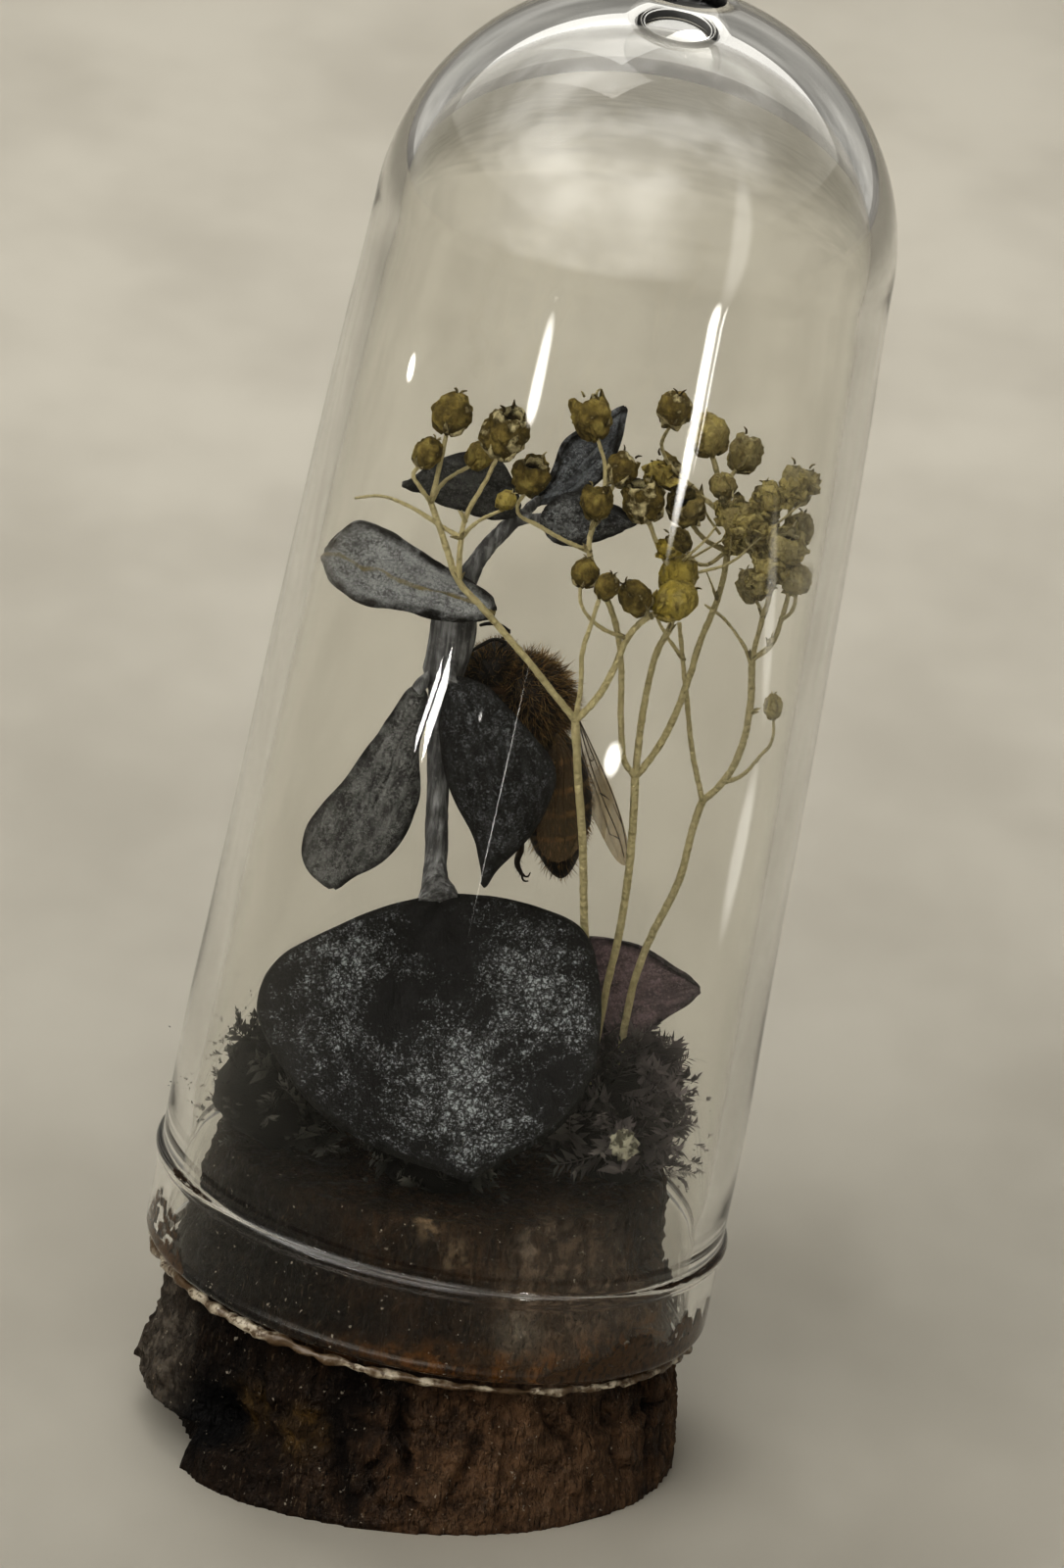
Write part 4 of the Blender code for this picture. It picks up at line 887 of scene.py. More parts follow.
# cell is how fine the bloom's cells are, line how wide its cracks and cover how thick it lies; rim is the
# width of the dark edge in millimetres, and spots are (x, y, z, radius, more or less bloom)
leafLooks = {
    "leaf_front": {
        "dark": (0.006, 0.006, 0.0068), "pale": (0.49, 0.52, 0.545), "cell": 3.1, "line": 0.13,
        "cover": 0.26, "streak": 0.0, "rim": 0.5, "rimTone": (0.006, 0.006, 0.005),
        "spots": ((1.5, -7.6, 21.9, 2.9, 0.40), (2.0, -6.0, 24.6, 1.7, 0.30), (4.2, -4.8, 27.9, 2.2, 0.36),
                  (7.0, -5.7, 26.3, 2.1, 0.32), (-2.2, -5.0, 25.6, 1.4, -0.55), (0.9, -4.4, 28.2, 0.9, -0.45),
                  (5.9, -7.2, 23.4, 1.5, -0.2), (-4.6, -6.2, 24.2, 2.6, 0.20), (-6.6, -5.5, 27.4, 2.2, 0.20),
                  (-8.9, -5.8, 26.4, 1.6, -0.1), (-4.3, -4.9, 28.3, 1.8, 0.30), (-0.3, -4.2, 30.0, 1.6, -0.5),
                  (3.1, -4.3, 30.5, 1.5, 0.1), (2.5, -5.2, 26.4, 0.8, -0.35), (4.0, -9.2, 20.0, 1.6, 0.2),
                  (-3.2, -8.4, 21.0, 1.6, -0.2))},
    "leaf_back_right": {
        "dark": (0.085, 0.062, 0.068), "pale": (0.36, 0.27, 0.29), "cell": 3.5, "line": 0.03,
        "cover": 0.5, "streak": 0.5, "rim": 0.5, "rimTone": (0.022, 0.017, 0.018)},
    "leaf_drooping_left": {
        "dark": (0.034, 0.034, 0.034), "pale": (0.30, 0.305, 0.30), "cell": 4.5, "line": 0.03,
        "cover": 0.5, "streak": 0.6, "rim": 0.45, "rimTone": (0.011, 0.010, 0.010)},
    "leaf_drooping_right": {
        "dark": (0.004, 0.004, 0.0042), "pale": (0.20, 0.212, 0.228), "cell": 3.4, "line": 0.09,
        "cover": 0.32, "streak": 0.13, "rim": 0.4, "rimTone": (0.007, 0.006, 0.006)},
    "leaf_oval_left": {
        "dark": (0.085, 0.087, 0.092), "pale": (0.48, 0.495, 0.51), "cell": 3.0, "line": 0.025,
        "cover": 0.7, "streak": 0.55, "rim": 0.5, "rimTone": (0.012, 0.010, 0.009),
        "rib": (0.30, 0.25, 0.11)},
    "leaf_top_left": {
        "dark": (0.022, 0.022, 0.021), "pale": (0.19, 0.195, 0.19), "cell": 3.6, "line": 0.03,
        "cover": 0.45, "streak": 0.5, "rim": 0.4, "rimTone": (0.009, 0.008, 0.008)},
    "leaf_top_up": {
        "dark": (0.050, 0.053, 0.062), "pale": (0.34, 0.365, 0.40), "cell": 3.0, "line": 0.03,
        "cover": 0.55, "streak": 0.55, "rim": 0.4, "rimTone": (0.010, 0.009, 0.009)},
    "leaf_top_right": {
        "dark": (0.022, 0.022, 0.024), "pale": (0.32, 0.335, 0.35), "cell": 3.6, "line": 0.03,
        "cover": 0.5, "streak": 0.5, "rim": 0.4, "rimTone": (0.010, 0.009, 0.009)},
}


def bloomAt(look):
    def cover(place):
        value = look["cover"] + 0.12 * noise.noise(place * 0.35)
        for x, y, z, radius, more in look.get("spots", ()):
            value += more * math.exp(-((place - Vector((x, y, z))).length / radius) ** 2)
        return value
    return cover


for leafName, leaf in leaves.items():
    big = leafName == "leaf_front"
    blade = layBlade(leaf, 64 if big else 28, 72 if big else 44, leafThickness, leafLift(leafName))
    look = leafLooks[leafName]
    setTone(blade, bloomAt(look))
    finishPiece(blade, "dry_" + leafName, leafFinish(leafName + "Skin", look), [leafName], 50)
print("leaves done")


# Honeybee: head, thorax and abdomen shaped from spheres, with legs, feelers, fur and wings

bee = {
    "head": {"centre": (0.8, -0.3, 43.5), "along": (0.75, 0.0, -0.66), "size": (1.5, 1.7, 1.05)},
    "thorax": {"centre": (3.3, 0.3, 41.9), "along": (0.53, 0.0, -0.85), "size": (1.95, 1.95, 2.35)},
    "abdomen": {"centre": (5.1, 0.5, 36.2), "along": (0.17, 0.0, -0.98), "size": (1.95, 1.9, 4.2)},
    "rings": 6,
    "legs": (
        ((0.3, 0.26, 0.2, 0.1),
         ((2.0, -0.9, 42.6), (1.2, -1.7, 42.75), (0.3, -2.1, 42.9), (-0.4, -2.5, 43.0))),
        ((0.3, 0.26, 0.2, 0.1), ((2.0, 1.2, 42.4), (0.9, 1.9, 42.8), (0.1, 1.3, 43.2), (-0.5, 0.6, 43.3))),
        ((0.32, 0.26, 0.2, 0.1),
         ((2.9, -1.0, 40.8), (1.7, -1.8, 40.2), (0.8, -1.8, 39.4), (-0.2, -1.9, 38.9))),
        ((0.32, 0.26, 0.2, 0.1), ((2.9, 1.5, 40.6), (1.8, 2.1, 39.9), (0.9, 1.6, 39.1), (0.0, 0.2, 38.4))),
        ((0.32, 0.3, 0.36, 0.3, 0.2, 0.16, 0.1),
         ((3.7, -0.3, 40.3), (2.9, -1.5, 38.4), (2.7, -1.6, 37.0), (3.2, -1.1, 34.9), (3.5, -0.7, 33.8),
          (3.4, -0.6, 33.0), (3.7, -0.6, 32.4))),
        ((0.32, 0.3, 0.34, 0.22, 0.12),
         ((3.7, 1.1, 40.3), (2.8, 2.3, 38.4), (2.6, 2.3, 37.0), (2.4, 1.9, 35.4), (2.5, 1.4, 34.2))),
    ),
    "claws": (
        ((0.07, 0.03), ((3.7, -0.6, 32.45), (4.0, -0.6, 32.3), (4.15, -0.6, 32.55))),
        ((0.07, 0.03), ((3.7, -0.6, 32.45), (3.85, -0.7, 32.1), (4.1, -0.7, 32.1))),
        ((0.06, 0.03), ((-0.4, -2.5, 43.0), (-0.75, -2.6, 42.9), (-0.8, -2.5, 42.7))),
    ),
    "feelers": (
        ((0.12, 0.1, 0.09), ((1.0, -0.8, 44.1), (1.25, -1.1, 44.8), (1.6, -1.2, 45.25))),
        ((0.09, 0.1, 0.1, 0.08),
         ((1.6, -1.2, 45.25), (1.0, -1.3, 45.4), (0.35, -1.5, 45.1), (-0.2, -1.6, 44.7))),
        ((0.12, 0.1, 0.09), ((1.0, 0.3, 44.3), (1.4, 0.6, 44.9), (1.7, 0.7, 45.3))),
        ((0.09, 0.1, 0.1, 0.08), ((1.7, 0.7, 45.3), (1.1, 1.0, 45.5), (0.5, 1.3, 45.4), (0.1, 1.5, 45.2))),
    ),
    "tongue": ((0.16, 0.12, 0.06), ((0.15, -0.4, 42.5), (0.2, -0.5, 41.8), (0.5, -0.5, 41.2))),
    "eyes": (((0.95, -1.45, 43.7), (0.42, 0.32, 0.78)), ((0.95, 0.95, 43.7), (0.42, 0.32, 0.78))),
    # each coat of fur: length, width and bend of its hairs, their tone at the root and its rise to the
    # tip, how many stand on a square millimetre, their sizes, which way they are combed, spread and seed
    "coats": {
        "thorax": {"hairs": ((0.85, 0.03, 0.1), (0.68, 0.03, 0.2), (0.9775, 0.03, 0.3)), "tone": (0.44, 0.47),
                   "dense": 52.0, "sizes": (0.5, 1.2), "comb": (0.25, 0.0, -0.35), "spread": 0.55, "seed": 3},
        "head": {"hairs": ((0.5, 0.024, 0.1),), "tone": (0.58, 0.0),
                 "dense": 40.0, "sizes": (0.6, 1.2), "comb": (0.1, 0.0, 0.2), "spread": 0.5, "seed": 13},
        "ring": {"hairs": ((0.5, 0.022, 0.12),), "tone": (0.54, 0.0),
                 "dense": 34.0, "sizes": (0.5, 1.1), "comb": (0.2, 0.0, -1.1), "spread": 0.35, "seed": 23},
        "leg": {"hairs": ((0.3, 0.016, 0.05),), "tone": (0.35, 0.0),
                "dense": 16.0, "sizes": (0.5, 1.1), "comb": (0.0, 0.0, -0.7), "spread": 0.3, "seed": 33},
    },
    "colours": ((0.0, (0.006, 0.004, 0.002)), (0.3, (0.05, 0.026, 0.011)), (0.45, (0.16, 0.082, 0.028)),
                (0.65, (0.42, 0.27, 0.10)), (0.9, (0.72, 0.56, 0.30))),
    "dirt": (0.012, 0.007, 0.004),
}


def shapeEgg(part, segments, rings, profile=None):
    # a sphere stretched along a direction; profile(v) scales its girth, v running from -1 to 1 along it
    egg = addBall(segments, rings, mm)
    for vertex in egg.data.vertices:
        girth = profile(vertex.co.z / mm) if profile else 1.0
        vertex.co.x *= girth
        vertex.co.y *= girth
    egg.scale = part["size"]
    egg.rotation_euler = turnTo(part["along"]).to_euler()
    egg.location = Vector(part["centre"]) * mm
    applyPlace(egg)
    return egg


def abdomenGirth(v):
    place = (v + 1) / 2 * bee["rings"]
    step = 0.055 * (place - math.floor(place)) - 0.03  # each ring slides out from under the one before
    taper = 1.0 - 0.42 * max(0.0, v - 0.1) ** 1.4 - 0.25 * max(0.0, -v - 0.55)
    return taper * (1.0 + step)


def ringTone(place):
    # the pale band at the front edge of each ring of the abdomen
    along = Vector(bee["abdomen"]["along"]).normalized()
    v = (place - Vector(bee["abdomen"]["centre"])).dot(along) / bee["abdomen"]["size"][2]
    ring = (v + 1) / 2 * bee["rings"]
    start = ring - math.floor(ring)
    tan = 0.62 if start < 0.26 and 1.0 < ring < 4.4 else 0.0
    return max(tan, 0.26 - 0.22 * max(0.0, v))


def makeHair(length, width, bend, name):
    # one tapered hair of three sides, bent a little, standing on the origin
    bpy.ops.mesh.primitive_cone_add(vertices=3, radius1=width * mm, radius2=0, depth=length * mm,
                                    location=(0, 0, length * mm / 2), end_fill_type="NOTHING")
    hair = bpy.context.object
    hair.name = name
    applyPlace(hair)
    refine(hair)
    for vertex in hair.data.vertices:
        vertex.co.x += bend * mm * (vertex.co.z / (length * mm)) ** 2
    return hair


def scatterOver(base, kinds, growth, name):
    # copies of the kinds stand all over base, as one real mesh, where its furry attribute lets them
    holder = bpy.data.collections.new(name + " kinds")
    for kind in kinds:
        for owner in list(kind.users_collection):
            owner.objects.unlink(kind)
        holder.objects.link(kind)
    tree = bpy.data.node_groups.new(name, "GeometryNodeTree")
    for way in ("INPUT", "OUTPUT"):
        tree.interface.new_socket("Geometry", in_out=way, socket_type="NodeSocketGeometry")

    def anyOf(low, high, step, kind="FLOAT"):
        # a random value between two for each copy
        first, out = {"FLOAT_VECTOR": (0, 0), "FLOAT": (2, 1), "INT": (4, 2)}[kind]
        sockets = {first: low, first + 1: high, "Seed": growth["seed"] + step}
        return addNode(tree, "FunctionNodeRandomValue", sockets, data_type=kind).outputs[out]

    furry = addNode(tree, "GeometryNodeInputNamedAttribute", {"Name": "furry"}, data_type="FLOAT").outputs[0]
    given = tree.nodes.new("NodeGroupInput").outputs[0]
    dense = times(tree, furry, growth["dense"] / mm ** 2)
    sockets = {"Mesh": given, "Density": dense, "Seed": growth["seed"]}
    points = addNode(tree, "GeometryNodeDistributePointsOnFaces", sockets).outputs
    drift = anyOf((-growth["spread"],) * 3, (growth["spread"],) * 3, 1, "FLOAT_VECTOR")
    way = vectorMath(tree, "ADD", vectorMath(tree, "ADD", points["Normal"], drift), growth["comb"])
    stand = addNode(tree, "FunctionNodeAlignRotationToVector", {"Vector": way}, axis="Z").outputs[0]
    sockets = {"Axis": (0, 0, 1), "Angle": anyOf(0.0, 2 * math.pi, 2)}
    spin = addNode(tree, "FunctionNodeAxisAngleToRotation", sockets).outputs[0]
    sockets = {"Rotation": stand, "Rotate By": spin}
    spun = addNode(tree, "FunctionNodeRotateRotation", sockets, rotation_space="LOCAL").outputs[0]
    sockets = {"Collection": holder, "Separate Children": True, "Reset Children": True}
    shapes = addNode(tree, "GeometryNodeCollectionInfo", sockets).outputs[0]
    sockets = {"Points": points["Points"], "Instance": shapes, "Pick Instance": True, "Rotation": spun,
               "Instance Index": anyOf(0, len(kinds) - 1, 4, "INT"), "Scale": anyOf(*growth["sizes"], 3)}
    copies = addNode(tree, "GeometryNodeInstanceOnPoints", sockets).outputs[0]
    sockets = {"Geometry": copies, "Name": "chance", "Value": anyOf(0.0, 1.0, 5)}
    marked = addNode(tree, "GeometryNodeStoreNamedAttribute", sockets, data_type="FLOAT", domain="INSTANCE")
    real = addNode(tree, "GeometryNodeRealizeInstances", {"Geometry": marked.outputs[0]}).outputs[0]
    tree.links.new(real, tree.nodes.new("NodeGroupOutput").inputs[0])
    grown = base.copy()
    grown.data = base.data.copy()
    bpy.context.collection.objects.link(grown)
    grown.modifiers.new("scatter", "NODES").node_group = tree
    applyModifiers(grown)
    for kind in kinds:
        bpy.data.objects.remove(kind)
    return grown


def growCoat(base, name):
    coat = bee["coats"][name]
    hairs = [makeHair(*hair, "%s hair %d" % (name, k)) for k, hair in enumerate(coat["hairs"])]
    root, rise = coat["tone"]
    for hair in hairs:
        setTone(hair, lambda place: root + rise * place.z)
    return scatterOver(base, hairs, coat, name + " fur")


def makeBee():
    head = shapeEgg(bee["head"], 32, 20)
    thorax = shapeEgg(bee["thorax"], 32, 24)
    abdomen = shapeEgg(bee["abdomen"], 40, 72, abdomenGirth)
    limbs = drawBranches(bee["legs"] + bee["claws"] + (bee["tongue"],), 2, 5)
    feelers = drawBranches(bee["feelers"], 2, 6)
    eyes = [shapeEgg({"centre": centre, "along": (0.5, 0.0, -0.5), "size": size}, 20, 14)
            for centre, size in bee["eyes"]]
    for part, tone in ((head, 0.12), (thorax, 0.3), (abdomen, ringTone), (feelers, 0.12)):
        setTone(part, tone)
    for eye in eyes:
        setTone(eye, 0.02)
    setTone(limbs, lambda place: 0.2 if place.z < 33.4 else 0.42)
    setTone(thorax, 1.0, "furry")
    setTone(head, lambda place: 1.0 if place.z > 43.2 else 0.5, "furry")
    setTone(abdomen, lambda place: 0.3 + 0.7 * (ringTone(place) > 0.5), "furry")
    setTone(limbs, 0.8, "furry")
    coats = {"thorax": thorax, "head": head, "ring": abdomen, "leg": limbs}
    fur = [growCoat(base, name) for name, base in coats.items()]
    return joinPieces([thorax, head, abdomen, limbs, feelers] + eyes + fur, "bee")


def beeFinish():
    material, tree, shader, places = newFinish("beeCoat", 0.5)
    colour = rampOf(tree, toneOf(tree), bee["colours"])
    colour = scaled(tree, colour, remap(tree, toneOf(tree, "chance"), 0.0, 1.0, 0.45, 1.5))
    dirty = times(tree, mottling(tree, places, 1.4, 0.35, 0.7), 0.6)
    colour = blendOf(tree, dirty, colour, bee["dirt"])
    shader.inputs["Specular IOR Level"].default_value = 0.35
    connect(tree, shader, Base_Color=colour, Normal=relief(tree, places, 9.0, 0.03))
    return material


finishPiece(makeBee(), "honeybee_body", beeFinish(), ["bee_body"])
print("bee body done")


wings = {
    "bee_wing_near": {
        "base": (4.7, -2.15, 40.9), "tip": (5.5, -2.7, 34.0), "face": (0.0, -1.0, 0.1),
        "sag": 0.1, "cup": -0.1,
        "left": (-0.1, -0.6, -0.9, -1.1, -0.8), "right": (0.4, 1.1, 1.3, 1.3, 0.9)},
    "bee_wing_far": {
        "base": (5.8, 2.9, 40.2), "tip": (9.3, 3.0, 32.3), "face": (0.18, -0.98, 0.0),
        "sag": 0.1, "cup": 0.1,
        "left": (-0.2, -0.8, -1.0, -0.8, -0.5), "right": (0.1, 0.3, 0.5, 0.5, 0.3)},
}
wingColours = {"amber": (0.44, 0.31, 0.15), "smoke": (0.20, 0.12, 0.05), "edge": (0.68, 0.57, 0.38),
               "vein": (0.15, 0.095, 0.045)}
# each vein's points, as shares of the way along and across from -1 to 1
wingVeins = [
    ((0.02, 0.9), (0.3, 0.93), (0.62, 0.92), (0.86, 0.8)),
    ((0.02, 0.7), (0.3, 0.66), (0.55, 0.7), (0.66, 0.9)),
    ((0.04, 0.1), (0.3, 0.22), (0.5, 0.15), (0.72, 0.3), (0.85, 0.2)),
    ((0.05, -0.2), (0.3, -0.25), (0.5, -0.1), (0.68, -0.35)),
    ((0.3, -0.25), (0.42, -0.62), (0.5, -0.86)),
    ((0.3, 0.66), (0.36, 0.42), (0.34, 0.22)),
    ((0.5, 0.15), (0.52, 0.4), (0.55, 0.7)),
    ((0.5, -0.1), (0.5, 0.04), (0.5, 0.15)),
    ((0.68, -0.35), (0.7, 0.0), (0.72, 0.3)),
]


def wingFinish():
    material, tree, shader, places = newFinish("wingSkin", 0.28)
    smoke = mottling(tree, stretched(tree, places, (2.2, 2.2, 0.35)), 0.9, 0.38, 0.66, 5.0)
    out = remap(tree, axisOf(tree, places, "X"), 6.2, 7.4)
    vein = toneOf(tree)
    colour = blendOf(tree, smoke, wingColours["amber"], wingColours["smoke"])
    colour = blendOf(tree, out, colour, wingColours["edge"])
    colour = blendOf(tree, vein, colour, wingColours["vein"])
    skin = plus(tree, remap(tree, smoke, 0.0, 1.0, 0.10, 0.34), times(tree, out, 0.34))
    clear = remap(tree, vein, 0.0, 1.0, skin, 0.6)
    connect(tree, shader, Base_Color=colour, Alpha=clear, Normal=relief(tree, places, 3.0, 0.1))
    return material


wingLook = wingFinish()
for wingName, wing in wings.items():
    skin = layBlade(wing, 12, 36, 0.05, lambda u, s: 0.05 * math.sin(9 * s + 4 * u) * math.sin(math.pi * u))
    setTone(skin, 0.0)
    lines = [((0.04, 0.025), [onBlade(wing, u, s, 0.03)[0] for u, s in vein]) for vein in wingVeins]
    veins = drawBranches(lines, 1, 4)
    setTone(veins, 1.0)
    veined = joinPieces([skin, veins], wingName)
    finishPiece(veined, "veined_" + wingName, wingLook, [wingName], 40)
print("bee wings done")


# Baby's breath: dried stems with seed pods. A twig is its two radii and its points. A pod is its
# middle, width, kind and tone from brown (0.5) to yellow (1). A floret is shrivelled: its middle,
# width and tone. A strand is the points of a line as thin as a hair.

